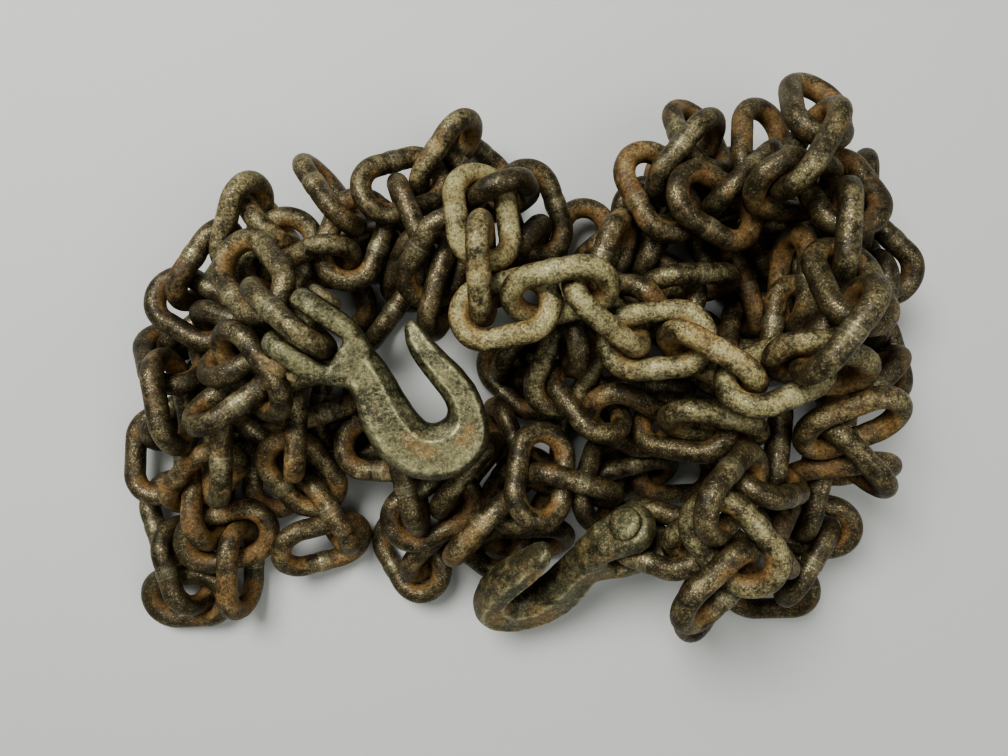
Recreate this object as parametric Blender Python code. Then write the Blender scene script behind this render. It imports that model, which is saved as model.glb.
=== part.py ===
"""Heap of welded iron chain with a clevis grab hook at each end.

Frame: metres, +Z up, the heap rests on the plane z = 0 and is read from straight above, +Y
away from the near edge. Lengths inside this file are millimetres until the meshes are made.

The chain is one size throughout: 13 mm round wire, links 40 mm long and 18 mm wide inside.
Every link is set down from a reading of where its middle lies, which way it points and how
far it stands on edge. The runs are then laid one on another from the lowest to the highest:
links of a run hang in each other, and pieces that meet keep a small air gap.
"""
import math

import bpy
import bmesh
import numpy as np

# Chain size.
WIRE_RADIUS = 6.5
BEND_RADIUS = 15.5
HALF_STRAIGHT = 11.0
INSIDE_HALF_LENGTH = 20.0

# The wire as modelled: a hexagon of the same area as the round wire.
SECTION_SIDES = 6
SECTION_RADIUS = 7.15
BEND_STEPS = 4

# Air gap between pieces, and how far the links of one fused group sink into each other.
AIR_GAP = 0.35
FUSE_SINK = 0.80

# Lowering of a run: sink for each pass, pull towards the readings, the mean sink below which
# the stage ends, most passes.
LOWERING = [
    (0.0, 0.05, -9.0, 20),
    (2.0, 0.06, 0.3, 260),
    (1.0, 0.05, 0.03, 240),
    (0.3, 0.04, -1.0, 40),
    (0.0, 0.0, -9.0, 25),
]

# Overlap at which a piece counts as caught and stops sinking.
CAUGHT = 2.5

# Readings are true at this height above the floor; higher points spread outwards from the
# middle, as seen by an eye half a metre above the floor.
EYE_HEIGHT = 500.0
READ_DISTANCE = 415.0

# Hook size.
PIN_RADIUS = 5.4
PIN_HOLE_RADIUS = 5.75
PIN_HEAD_RADIUS = 10.0
PIN_HEAD_HEIGHT = 5.0
PIN_TAIL = 27.5
EAR_INNER = 8.6
EAR_OUTER = 20.0
EAR_RADIUS = 15.0
EAR_ROOT = 26.0
CROTCH = 23.0
PIN_SEAT = 13.3
COTTER_WIRE = 1.6
COTTER_HALF = 11.0
COTTER_HOLE_RADIUS = 2.0
KNOB_RADIUS = 2.9
KNOB_HALF = 3.0
KNOB_MIDDLE = 9.5
HEAD_CLEAR = 0.3

# Hook blade from the shank round the bowl to the tip: slot side, back side, half thickness.
BLADE = [
    ((28.0, 15.0), (28.5, -14.0), 10.0),
    ((39.0, 12.0), (38.5, -13.3), 10.8),
    ((47.5, 9.2), (44.5, -17.5), 10.8),
    ((56.5, 5.0), (51.5, -23.5), 11.0),
    ((65.0, 0.8), (59.0, -28.8), 11.2),
    ((74.0, -3.0), (69.8, -33.8), 11.5),
    ((80.5, -4.6), (80.7, -35.4), 11.5),
    ((84.0, -4.0), (91.5, -34.4), 11.5),
    ((86.5, -2.0), (101.8, -30.1), 11.5),
    ((88.0, 0.5), (110.3, -23.0), 11.5),
    ((88.8, 3.0), (116.1, -13.0), 11.5),
    ((88.5, 5.5), (117.5, -1.5), 11.3),
    ((87.0, 8.0), (114.5, 8.5), 11.0),
    ((83.0, 10.6), (106.5, 17.5), 10.8),
    ((77.0, 13.0), (96.5, 25.0), 10.6),
    ((70.0, 15.2), (84.0, 29.8), 10.2),
    ((62.0, 17.8), (71.0, 32.3), 9.6),
    ((55.0, 21.0), (60.5, 34.5), 8.6),
    ((49.0, 25.0), (52.5, 36.8), 7.2),
    ((44.5, 30.0), (46.0, 37.6), 4.8),
]
BLADE_SECTION = [(1.0, 0.5), (0.66, 1.0), (-0.66, 1.0), (-1.0, 0.5), (-1.0, -0.5), (-0.66, -1.0),
                 (0.66, -1.0), (1.0, -0.5)]

# Runs from the lowest to the highest. A run is its name, its usual height, and its links:
# middle x, middle y, heading in degrees from +X, roll in degrees (0 flat, 90 on edge).
RUNS = [
    ("floor_left", 12, [(-180, -117, 10, 0), (-176, -102, 92, 70), (-192, -84, 100, 15)]),
    ("floor_middle", 12, [(-50, -88, -48, 0), (-35, -92, 60, 60), (-15, -98, -20, 5), (7, -87, 0, 60)]),
    ("floor_left_edge", 15, [(-190, -42, 80, 15), (-176, -20, 25, 75), (-160, -12, -50, 12),
                             (-150, -32, -20, 70), (-137, -46, 100, 12)]),
    ("floor_under_hook", 15, [(-92, 48, -60, 8), (-88, 68, 0, 62), (-72, 88, -20, 8)]),
    ("floor_slot", 15, [(-91, -12, 100, 60), (-96, -27, 20, 8), (-66, -40, -10, 60)]),
    ("floor_corner", 12, [(105, 118, 0, 5), (135, 112, -10, 60), (160, 108, 20, 5)]),
    ("floor_ridge", 12, [(60, 45, 10, 5), (88, 35, -20, 60), (112, 15, -40, 5), (140, 8, 10, 60)]),
    ("left_edge", 35, [(-188, -17, 90, 85), (-184, 14, 85, 10), (-172, 20, 20, 62), (-163, 44, 60, 8)]),
    ("lower_left", 45, [(-165, -38, -68, 65), (-169, -57, 80, 10), (-183, -62, 100, 62), (-165, -84, 5, 8),
                        (-158, -102, 100, 65)]),
    ("below_hook", 40, [(-105, -14, 25, 60), (-117, -33, 62, 95), (-117, -60, -60, 5), (-102, -70, -45, 60),
                        (-113, -82, 0, 8)]),
    ("near_left", 50, [(-170, 55, 70, 62), (-168, 38, -28, 5), (-150, 30, -22, 60), (-141, 15, 40, -20),
                       (-149, 5, -25, 45), (-149, -14, 55, -60)]),
    ("upper_left", 45, [(-142, 86, 80, 10), (-137, 88, 115, 75), (-133, 76, 58, 15), (-108, 64, 10, 62),
                        (-103, 83, 42, 5), (-102, 99, 108, 80)]),
    ("upper_middle", 45, [(-26, 112, -6, 10), (-35, 113, 90, 62), (-62, 111, 35, 8), (-62, 104, 65, 85),
                          (-64, 76, 67, 10), (-72, 46, 60, 75)]),
    ("upper_middle_over", 60, [(-44, 80, 68, 8), (-40, 50, 75, 68)]),
    ("middle_left", 50, [(-78, -50, -17, 8), (-46, -52, 75, 80), (-46, -62, 15, 8), (-21, -62, 75, 70)]),
    ("middle", 60, [(-9, -38, -80, 85), (-3, -58, 78, 8), (-21, -81, 58, 80)]),
    ("centre", 60, [(10, 18, 62, 85), (3, -5, -42, 8), (27, -9, -45, 62), (38, -38, -100, 8)]),
    ("right_inner", 55, [(52, 78, 70, 12), (62, 93, 62, 85), (84, 85, 30, 5), (79, 66, 80, 85),
                         (90, 52, -50, 10), (100, 48, 15, 70)]),
    ("right_single", 45, [(64, 70, 55, 62), (75, 42, 20, 8)]),
    ("right_cross", 55, [(141, 91, 2, 70), (124, 74, -68, 12), (125, 50, -73, 85), (141, 30, 80, 12)]),
    ("right_back", 50, [(145, 72, -50, 10), (153, 52, -60, 80)]),
    ("right_stand", 50, [(167, 54, 80, 85), (166, 30, 80, 12)]),
    ("top_left_ring", 70, [(91, 108, 100, 12), (107, 124, 48, 62), (95, 132, 70, 8)]),
    ("top_middle_ring", 70, [(133, 126, 70, 8), (117, 112, 5, 80), (113, 98, -25, 10)]),
    ("ridge_low", 55, [(80, 0, 15, 75), (107, -13, -30, 15)]),
    ("right_post", 60, [(190, 5, 80, 10), (187, -20, 82, 85)]),
    ("right_bar", 80, [(186, 92, -60, 10), (196, 66, -68, 85)]),
    ("bottom_ring", 60, [(24, -60, 83, 10), (34, -60, 12, 75), (45, -57, 72, 8), (68, -57, 18, 65),
                         (94, -50, -5, 8)]),
    ("right_column", 60, [(206, 3, 80, 80), (217, 19, 75, 12), (207, 43, 78, 80), (218, 64, -70, 15),
                          (205, 90, 90, 66)]),
    ("right_foot", 50, [(143, -112, 20, 5), (161, -92, 70, 70), (166, -73, -30, 5), (174, -58, 60, 62),
                        (183, -46, -8, 8), (197, -34, -50, 66), (202, -14, 35, 8)]),
    ("far_hook_run", 70, [("hook", 2), (85, -93, -8, -20), (104, -104, -20, 35), (110, -120, 65, 95)]),
    ("lower_right", 60, [(140, -88, 60, 12), (155, -92, 70, 80)]),
    ("lower_right_top", 90, [(158, -44, 88, 50), (147, -60, 12, -12), (117, -75, 47, 40),
                             (121, -96, -60, -15),
                             (128, -109, 30, 40)]),
    ("centre_top", 75, [(36, 22, -75, 80), (48, 3, 88, 20), (50, -13, -55, -35), (73, -17, -28, 30),
                        (92, -34, -8, -25), (123, -25, -18, 70)]),
    ("near_hook_run", 80, [("hook", 1), (-124, 43, -34, 90), (-148, 58, -45, 5)]),
    ("top", 100, [(3, 66, 65, 60), (10, 93, 118, 8), (-15, 99, -10, 62), (-14, 90, 86, -5),
                  (-17, 60, 115, 50),
                  (0, 41, 5, -10), (33, 50, 8, 50), (61, 36, -33, 110), (88, 19, -18, 8), (119, 9, -19, 80),
                  (145, 0, 5, -10), (158, 10, 15, 50), (174, 29, 55, 105), (190, 47, 85, 12),
                  (182, 73, 92, 88), (181, 100, 115, -10), (158, 108, -15, 50), (166, 130, 57, 100),
                  (174, 146, 78, 10)]),
]

# Hooks: middle of the pin, usual height, heading of the blade, tilt of the blade, roll.
HOOKS = {
    1: ((-125, 18), 85, -34, -8, 0),
    2: ((78, -81), 70, 210, -17, 134),
}

METRE = 0.001

# How readily a piece shifts and turns when it is pushed; a hook is the heavier piece.
PIECE_EASE = {"link": (1.0, 1.0 / 22.0 ** 2), "hook": (0.2, 0.005 / 45.0 ** 2)}

# Decimals kept while laying, in millimetres and in a turn matrix, so that the heap comes out the
# same on every computer.
PLACE_DECIMALS = 5
TURN_DECIMALS = 7


def rotation(heading, tilt, roll):
    """Turn from the piece's own axes to the heap's: roll about its length, tilt, heading."""
    h, t, r = (math.radians(a) for a in (heading, tilt, roll))
    turn_z = np.array([[math.cos(h), -math.sin(h), 0], [math.sin(h), math.cos(h), 0], [0, 0, 1]])
    turn_y = np.array([[math.cos(t), 0, -math.sin(t)], [0, 1, 0], [math.sin(t), 0, math.cos(t)]])
    turn_x = np.array([[1, 0, 0], [0, math.cos(r), -math.sin(r)], [0, math.sin(r), math.cos(r)]])
    return turn_z @ turn_y @ turn_x


def turn_by(vector):
    """Turn matrix for a rotation vector."""
    angle = float(np.linalg.norm(vector))
    if angle < 1e-12:
        return np.eye(3)
    x, y, z = vector / angle
    cross = np.array([[0, -z, y], [z, 0, -x], [-y, x, 0]])
    return np.eye(3) + math.sin(angle) * cross + (1 - math.cos(angle)) * (cross @ cross)


def turn_vector(turn):
    """Rotation vector of a turn matrix of less than half a turn."""
    axis = np.array([turn[2, 1] - turn[1, 2], turn[0, 2] - turn[2, 0], turn[1, 0] - turn[0, 1]])
    size = float(np.linalg.norm(axis))
    angle = math.atan2(size, float(np.trace(turn)) - 1.0)
    return axis * (angle / size) if size > 1e-9 else np.zeros(3)


def link_rings():
    """Middle line of one link and the ring of section corners at each of its stations."""
    middle = []
    rings = []
    for side in (1, -1):
        for step in range(BEND_STEPS + 1):
            angle = math.radians(-90 + 180 * step / BEND_STEPS)
            out = np.array([side * math.cos(angle), side * math.sin(angle), 0.0])
            centre = np.array([side * HALF_STRAIGHT, 0.0, 0.0]) + BEND_RADIUS * out
            ring = []
            for corner in range(SECTION_SIDES):
                turn = 2 * math.pi * corner / SECTION_SIDES
                across = math.cos(turn) * out + np.array([0, 0, math.sin(turn)])
                ring.append(centre + SECTION_RADIUS * across)
            middle.append(centre)
            rings.append(np.array(ring))
    return np.array(middle), rings


def blade_rings():
    """Section rings of the hook blade and the middle of each."""
    middle = []
    rings = []
    for inner, outer, thick in BLADE:
        centre = (np.array(inner) + np.array(outer)) / 2
        reach = (np.array(outer) - np.array(inner)) / 2
        ring = [np.array([centre[0] + reach[0] * a, centre[1] + reach[1] * a, thick * b])
                for a, b in BLADE_SECTION]
        middle.append(np.array([centre[0], centre[1], 0.0]))
        rings.append(np.array(ring))
    return middle, rings


def ear_outline(radius, root, half_root, steps=10):
    """Outline of an ear in the blade's length and thickness: a round end and a straight root."""
    points = []
    for step in range(steps):
        angle = math.radians(90 + 180 * step / (steps - 1))
        points.append((radius * math.cos(angle), radius * math.sin(angle)))
    points += [(root, -half_root), (root, half_root)]
    return points


def ear_hull(side):
    """Corners of one ear; side +1 is the ear towards the tip."""
    low, high = sorted((side * EAR_INNER, side * EAR_OUTER))
    outline = ear_outline(EAR_RADIUS, EAR_ROOT, 11.5)
    return np.array([[x, y, z] for y in (low, high) for x, z in outline])


def root_hull():
    """Corners of the block that joins the ears to the blade."""
    near = [(CROTCH, y, z) for y in (-EAR_OUTER + 0.5, EAR_OUTER - 0.5) for z in (-11.2, 11.2)]
    far = [(36.0, y, z) for y in (-12.0, 12.0) for z in (-10.3, 10.3)]
    return np.array(near + far)


def disc_hull(radius, low, high, sides=12):
    """Corners of a round bar along the pin."""
    ring = [(radius * math.cos(2 * math.pi * k / sides), radius * math.sin(2 * math.pi * k / sides))
            for k in range(sides)]
    return np.array([[x, y, z] for y in (low, high) for x, z in ring])


def link_shape():
    """A link as straight wire pieces: ends of each piece and the corners around it."""
    middle, rings = link_rings()
    count = len(middle)
    return [(middle[k], middle[(k + 1) % count], np.vstack([rings[k], rings[(k + 1) % count]]))
            for k in range(count)]


def hook_shape():
    """A hook with its pin as convex pieces."""
    middle, rings = blade_rings()
    pieces = [(middle[k], middle[k + 1], np.vstack([rings[k], rings[k + 1]])) for k in range(len(middle) - 1)]
    mid_ear = (EAR_INNER + EAR_OUTER) / 2
    for side in (1, -1):
        start = np.array([EAR_ROOT, side * mid_ear, 0])
        pieces.append((start, np.array([0, side * mid_ear, 0]), ear_hull(side)))
    pieces.append((np.array([CROTCH + 4, 0, 0]), np.array([35.0, 0, 0]), root_hull()))
    pieces.append((np.array([0, -EAR_OUTER, 0]), np.array([0, EAR_OUTER, 0]),
                   disc_hull(PIN_RADIUS, -EAR_OUTER, EAR_OUTER)))
    top = EAR_OUTER + HEAD_CLEAR + PIN_HEAD_HEIGHT
    pieces.append((np.array([0, EAR_OUTER, 0]), np.array([0, top, 0]),
                   disc_hull(PIN_HEAD_RADIUS, EAR_OUTER, top)))
    pieces.append((np.array([0, -EAR_OUTER, 0]), np.array([0, -PIN_TAIL, 0]),
                   disc_hull(PIN_RADIUS + 2.5, -PIN_TAIL, -EAR_OUTER)))
    return pieces


def padded(shape, corners=24):
    """Shape as arrays, every piece given the same number of corners."""
    start = np.array([s[0] for s in shape], float)
    end = np.array([s[1] for s in shape], float)
    hull = np.array([np.vstack([s[2], np.repeat(s[2][:1], corners - len(s[2]), axis=0)])
                     for s in shape], float)
    return start, end, hull


def closest(p1, q1, p2, q2):
    """Closest points of pairs of straight pieces."""
    d1 = q1 - p1
    d2 = q2 - p2
    r = p1 - p2
    a = np.einsum("ij,ij->i", d1, d1)
    e = np.einsum("ij,ij->i", d2, d2)
    f = np.einsum("ij,ij->i", d2, r)
    c = np.einsum("ij,ij->i", d1, r)
    b = np.einsum("ij,ij->i", d1, d2)
    denominator = a * e - b * b
    safe = np.where(denominator > 1e-9, denominator, 1.0)
    s = np.where(denominator > 1e-9, np.clip((b * f - c * e) / safe, 0, 1), 0.5)
    t = (b * s + f) / e
    s = np.where(t < 0, np.clip(-c / a, 0, 1), np.where(t > 1, np.clip((b - c) / a, 0, 1), s))
    t = np.clip(t, 0, 1)
    return p1 + d1 * s[:, None], p2 + d2 * t[:, None]


def along(hull, direction):
    """How far each corner lies along a direction, one direction for each hull."""
    return np.einsum("ikj,ij->ik", hull, direction)


class Pile:
    """Pieces laid so far, with the arrays that tell how they clear each other."""

    def __init__(self):
        self.shapes = {"link": padded(link_shape()), "hook": padded(hook_shape())}
        self.kind = []
        self.place = []
        self.turn = []
        self.first = [0]
        self.tied = []
        self.fuse_error = 0.0
        self.ease = np.zeros((0, 2))
        self.start = np.zeros((0, 3))
        self.end = np.zeros((0, 3))
        self.hull = np.zeros((0, 24, 3))
        self.owner = np.zeros(0, int)

    def add(self, kind, place, turn, tied):
        """Add one piece; tied tells whether it is fused to the piece before it."""
        start, end, hull = self.shapes[kind]
        self.kind.append(kind)
        self.place.append(np.array(place, float))
        self.turn.append(turn)
        self.tied.append(tied)
        self.ease = np.vstack([self.ease, PIECE_EASE[kind]])
        self.first.append(self.first[-1] + len(start))
        self.start = np.vstack([self.start, start])
        self.end = np.vstack([self.end, end])
        self.hull = np.concatenate([self.hull, hull])
        self.owner = np.concatenate([self.owner, np.full(len(start), len(self.kind) - 1)])

    def refresh(self, low, high):
        """Bring the arrays of pieces low to high - 1 to where the pieces are."""
        for k in range(low, high):
            start, end, hull = self.shapes[self.kind[k]]
            part = slice(self.first[k], self.first[k + 1])
            self.place[k] = np.round(self.place[k], PLACE_DECIMALS)
            self.turn[k] = np.round(self.turn[k], TURN_DECIMALS)
            turn = self.turn[k].T
            self.start[part] = np.round(start @ turn + self.place[k], PLACE_DECIMALS)
            self.end[part] = np.round(end @ turn + self.place[k], PLACE_DECIMALS)
            self.hull[part] = np.round(hull @ turn + self.place[k], PLACE_DECIMALS)

    def near(self, low, margin):
        """Pairs of straight pieces close enough to matter, the first of each pair movable."""
        lowest = self.first[low]
        middle = (self.start + self.end) / 2
        reach = np.linalg.norm(self.end - self.start, axis=1) / 2
        reach += np.where(np.array([k == "hook" for k in self.kind])[self.owner], 16.0, 7.8)
        gap = middle[lowest:, None, :] - middle[None, :, :]
        far = np.einsum("ijk,ijk->ij", gap, gap)
        limit = (reach[lowest:, None] + reach[None, :] + margin) ** 2
        mine = self.owner[lowest:, None]
        other = self.owner[None, :]
        one, two = np.nonzero((far < limit) & ((other < low) | (other < mine)) & (other != mine))
        return one + lowest, two

    def contacts(self, low, one, two, slack):
        """Contacts that need a push: pieces, points, direction, how far."""
        point_one, point_two = closest(self.start[one], self.end[one], self.start[two], self.end[two])
        apart = point_one - point_two
        distance = np.linalg.norm(apart, axis=1)
        tied = np.array(self.tied)
        first = self.owner[one]
        second = self.owner[two]
        pair_tied = (first - second == 1) & tied[first]
        is_hook = np.array([k == "hook" for k in self.kind])
        reach = np.where(is_hook[first], 24.0, 7.8) + np.where(is_hook[second], 24.0, 7.8)
        keep = (distance < reach + slack + 1.0) | (pair_tied & (distance < 40))
        one, two, first, second = one[keep], two[keep], first[keep], second[keep]
        point_one, point_two, apart, distance = point_one[keep], point_two[keep], apart[keep], distance[keep]
        pair_tied = pair_tied[keep]
        safe = np.maximum(distance, 1e-6)
        direction = apart / safe[:, None]
        direction[distance < 1e-6] = (0, 0, 1)
        hull_one = self.hull[one]
        hull_two = self.hull[two]
        gap = along(hull_one, direction).min(axis=1) - along(hull_two, direction).max(axis=1)
        for index in np.nonzero(is_hook[first] | is_hook[second])[0]:
            hook = first[index] if is_hook[first[index]] else second[index]
            for axis in self.turn[hook].T:
                for way in (axis, -axis):
                    clear = (hull_one[index] @ way).min() - (hull_two[index] @ way).max()
                    if clear > gap[index]:
                        gap[index] = clear
                        direction[index] = way
        goal = np.where(pair_tied, -FUSE_SINK, AIR_GAP)
        push = goal - gap
        use = push > -slack
        if pair_tied.any():
            index = np.nonzero(pair_tied)[0]
            order = index[np.argsort(gap[index], kind="stable")]
            seen, where = np.unique(first[order], return_index=True)
            use[index] = push[index] > 0
            use[order[where]] = True
        found = (first, second, point_one, point_two, direction, push, pair_tied)
        return tuple(values[use] for values in found)

    def floor_contacts(self, low):
        """Corners below the floor, one for each straight piece."""
        lowest = self.first[low]
        heights = self.hull[lowest:, :, 2]
        corner = np.argmin(heights, axis=1)
        depth = -heights[np.arange(len(heights)), corner]
        hit = np.nonzero(depth > 0)[0]
        points = self.hull[lowest + hit, corner[hit]]
        return self.owner[lowest + hit], points, depth[hit]

    def clear(self, low, one, two, slack=0.0):
        """One pass of pushing movable pieces apart; returns the deepest overlap of each."""
        high = len(self.kind)
        first, second, point_one, point_two, direction, push, pair_tied = self.contacts(low, one, two, slack)
        body, floor_point, depth = self.floor_contacts(low)
        places = np.array(self.place)
        move = self.ease[:, 0]
        grip = self.ease[:, 1]
        shift = np.zeros((high, 3))
        twist = np.zeros((high, 3))
        weight = np.full(high, 1e-9)
        arm_one = np.cross(point_one - places[first], direction)
        arm_two = np.cross(point_two - places[second], direction)
        free = (second >= low).astype(float)
        share = move[first] + free * move[second]
        share += grip[first] * np.einsum("ij,ij->i", arm_one, arm_one)
        share += free * grip[second] * np.einsum("ij,ij->i", arm_two, arm_two)
        amount = push / share
        strength = np.abs(push) + 0.02
        pull = (strength * amount)[:, None]
        np.add.at(shift, first, pull * direction * move[first][:, None])
        np.add.at(twist, first, pull * arm_one * grip[first][:, None])
        np.add.at(weight, first, strength)
        np.add.at(shift, second, -pull * direction * (free * move[second])[:, None])
        np.add.at(twist, second, -pull * arm_two * (free * grip[second])[:, None])
        np.add.at(weight, second, strength * free)
        deepest = np.zeros(high)
        loose = ~pair_tied
        self.fuse_error = float(np.abs(push[pair_tied]).max()) if pair_tied.any() else 0.0
        np.maximum.at(deepest, first[loose], push[loose])
        np.maximum.at(deepest, second[loose], push[loose])
        if len(body):
            up = np.array([0.0, 0.0, 1.0])
            arm = np.cross(floor_point - places[body], up)
            amount = depth / (move[body] + grip[body] * np.einsum("ij,ij->i", arm, arm))
            pull = ((depth + 0.02) * amount)[:, None]
            np.add.at(shift, body, pull * up * move[body][:, None])
            np.add.at(twist, body, pull * arm * grip[body][:, None])
            np.add.at(weight, body, depth + 0.02)
            np.maximum.at(deepest, body, depth)
        for k in range(low, high):
            self.place[k] = self.place[k] + shift[k] / weight[k]
            self.turn[k] = turn_by(twist[k] / weight[k]) @ self.turn[k]
        self.refresh(low, high)
        return deepest[low:]


def spread(reading, height):
    """True x and y of a reading at this height."""
    return np.array(reading[:2], float) * (EYE_HEIGHT - height) / READ_DISTANCE


def joint_offset(kind, towards_next, after_hook=False):
    """The joint on a piece's own axis: the bearing of a link's end, or the seat in a hook."""
    if kind == "hook":
        return np.zeros(3)
    if towards_next:
        return np.array([INSIDE_HALF_LENGTH, 0, 0])
    if after_hook:
        return np.array([-PIN_SEAT, 0, 0])
    return np.array([-INSIDE_HALF_LENGTH, 0, 0])


def hangs(place_one, turn_one, place_two, turn_two):
    """Whether the middle line of the second link passes through the opening of the first."""
    middle = link_rings()[0]
    points = (middle @ turn_two.T + place_two - place_one) @ turn_one
    total = 0
    for k in range(len(points)):
        a = points[k]
        b = points[(k + 1) % len(points)]
        if (a[2] > 0) != (b[2] > 0):
            x, y = (a + a[2] / (a[2] - b[2]) * (b - a))[:2]
            if max(abs(x) - HALF_STRAIGHT, 0) ** 2 + y * y < BEND_RADIUS ** 2:
                total += 1 if b[2] > a[2] else -1
    return total != 0


def carried(turn_one, turn_two):
    """The first piece's flat normal, carried round the bend into the second piece."""
    axis = np.cross(turn_one[:, 0], turn_two[:, 0])
    size = float(np.linalg.norm(axis))
    if size < 1e-9:
        return turn_one[:, 2]
    angle = math.atan2(size, float(turn_one[:, 0] @ turn_two[:, 0]))
    return turn_by(axis * (angle / size)) @ turn_one[:, 2]


def roll_square(turn, normal, rate):
    """Roll a piece about its own length so that its flat stands more square to a normal."""
    lean = turn[:, 2] @ normal
    rise = np.cross(turn[:, 0], turn[:, 2]) @ normal
    way = -math.copysign(1.0, rise * lean) if abs(rise) > 1e-3 else 1.0
    return turn_by(turn[:, 0] * way * rate) @ turn


def thread_run(kinds, places, turns, goals, goal_turns):
    """Bring the pieces of a lifted run end to end so that each hangs in the next."""
    count = len(kinds)
    for step in range(220):
        pull = 0.04 if step < 150 else 0.0
        for k in range(count):
            places[k] = np.round(places[k] + pull * (goals[k] - places[k]), PLACE_DECIMALS)
            turns[k] = turn_by(pull * turn_vector(goal_turns[k] @ turns[k].T)) @ turns[k]
            turns[k] = np.round(turns[k], TURN_DECIMALS)
        for k in range(count):
            for other in range(k + 2, count):
                away = places[other] - places[k]
                size = np.linalg.norm(away)
                if size < 48.0:
                    push = away / max(size, 1.0) * 0.35 + np.array([0, 0, 0.65])
                    push *= (48.0 - size) * 0.12
                    places[other] = places[other] + push
                    places[k] = places[k] - push
        for k in range(count - 1):
            one = turns[k] @ joint_offset(kinds[k], True)
            hook = kinds[k] == "hook"
            two = turns[k + 1] @ joint_offset(kinds[k + 1], False, hook)
            miss = places[k + 1] + two - places[k] - one
            size = np.linalg.norm(miss)
            free = 1.0 if step < 150 else 0.2
            if size > free:
                move = miss * (size - free) / size * 0.5
                places[k] = places[k] + move * (0.2 if hook else 0.6)
                places[k + 1] = places[k + 1] - move * 0.6
                if not hook:
                    turns[k] = turn_by(np.cross(one, move) * 0.6 / 700.0) @ turns[k]
                turns[k + 1] = turn_by(np.cross(two, -move) * 0.6 / 700.0) @ turns[k + 1]
            if hook:
                facing = turns[k][:, 1]
                normal = turns[k + 1][:, 2] * np.sign(turns[k + 1][:, 2] @ facing + 1e-9)
                turns[k + 1] = turn_by(0.4 * np.cross(normal, facing)) @ turns[k + 1]
                continue
            if turns[k][:, 0] @ turns[k + 1][:, 0] < 0.25:
                bend = np.cross(turns[k][:, 0], turns[k + 1][:, 0])
                size = np.linalg.norm(bend)
                bend = bend / size if size > 0.05 else turns[k][:, 2]
                turns[k] = turn_by(bend * 0.05) @ turns[k]
                turns[k + 1] = turn_by(bend * -0.05) @ turns[k + 1]
            if abs(carried(turns[k], turns[k + 1]) @ turns[k + 1][:, 2]) > 0.5:
                turns[k + 1] = roll_square(turns[k + 1], carried(turns[k], turns[k + 1]), 0.06)
                if k and kinds[k - 1] != "hook":
                    turns[k] = roll_square(turns[k], carried(turns[k + 1], turns[k]), 0.04)
    for k in range(count - 1):
        if kinds[k] == "hook":
            continue
        for attempt in range(60):
            if hangs(places[k], turns[k], places[k + 1], turns[k + 1]):
                break
            bend = np.cross(turns[k][:, 0], turns[k + 1][:, 0])
            turns[k + 1] = turn_by(bend * -0.04) @ turns[k + 1]
            turns[k + 1] = roll_square(turns[k + 1], carried(turns[k], turns[k + 1]), 0.05)
            miss = places[k + 1] + turns[k + 1] @ joint_offset("link", False)
            miss = miss - places[k] - turns[k] @ joint_offset("link", True)
            for later in range(k + 1, count):
                places[later] = places[later] - miss
    return places, turns


def group_sizes(count):
    """Split a run of links into fused groups of about three."""
    groups = max(1, round(count / 3.3))
    return [count // groups + (1 if k < count % groups else 0) for k in range(groups)]


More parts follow.
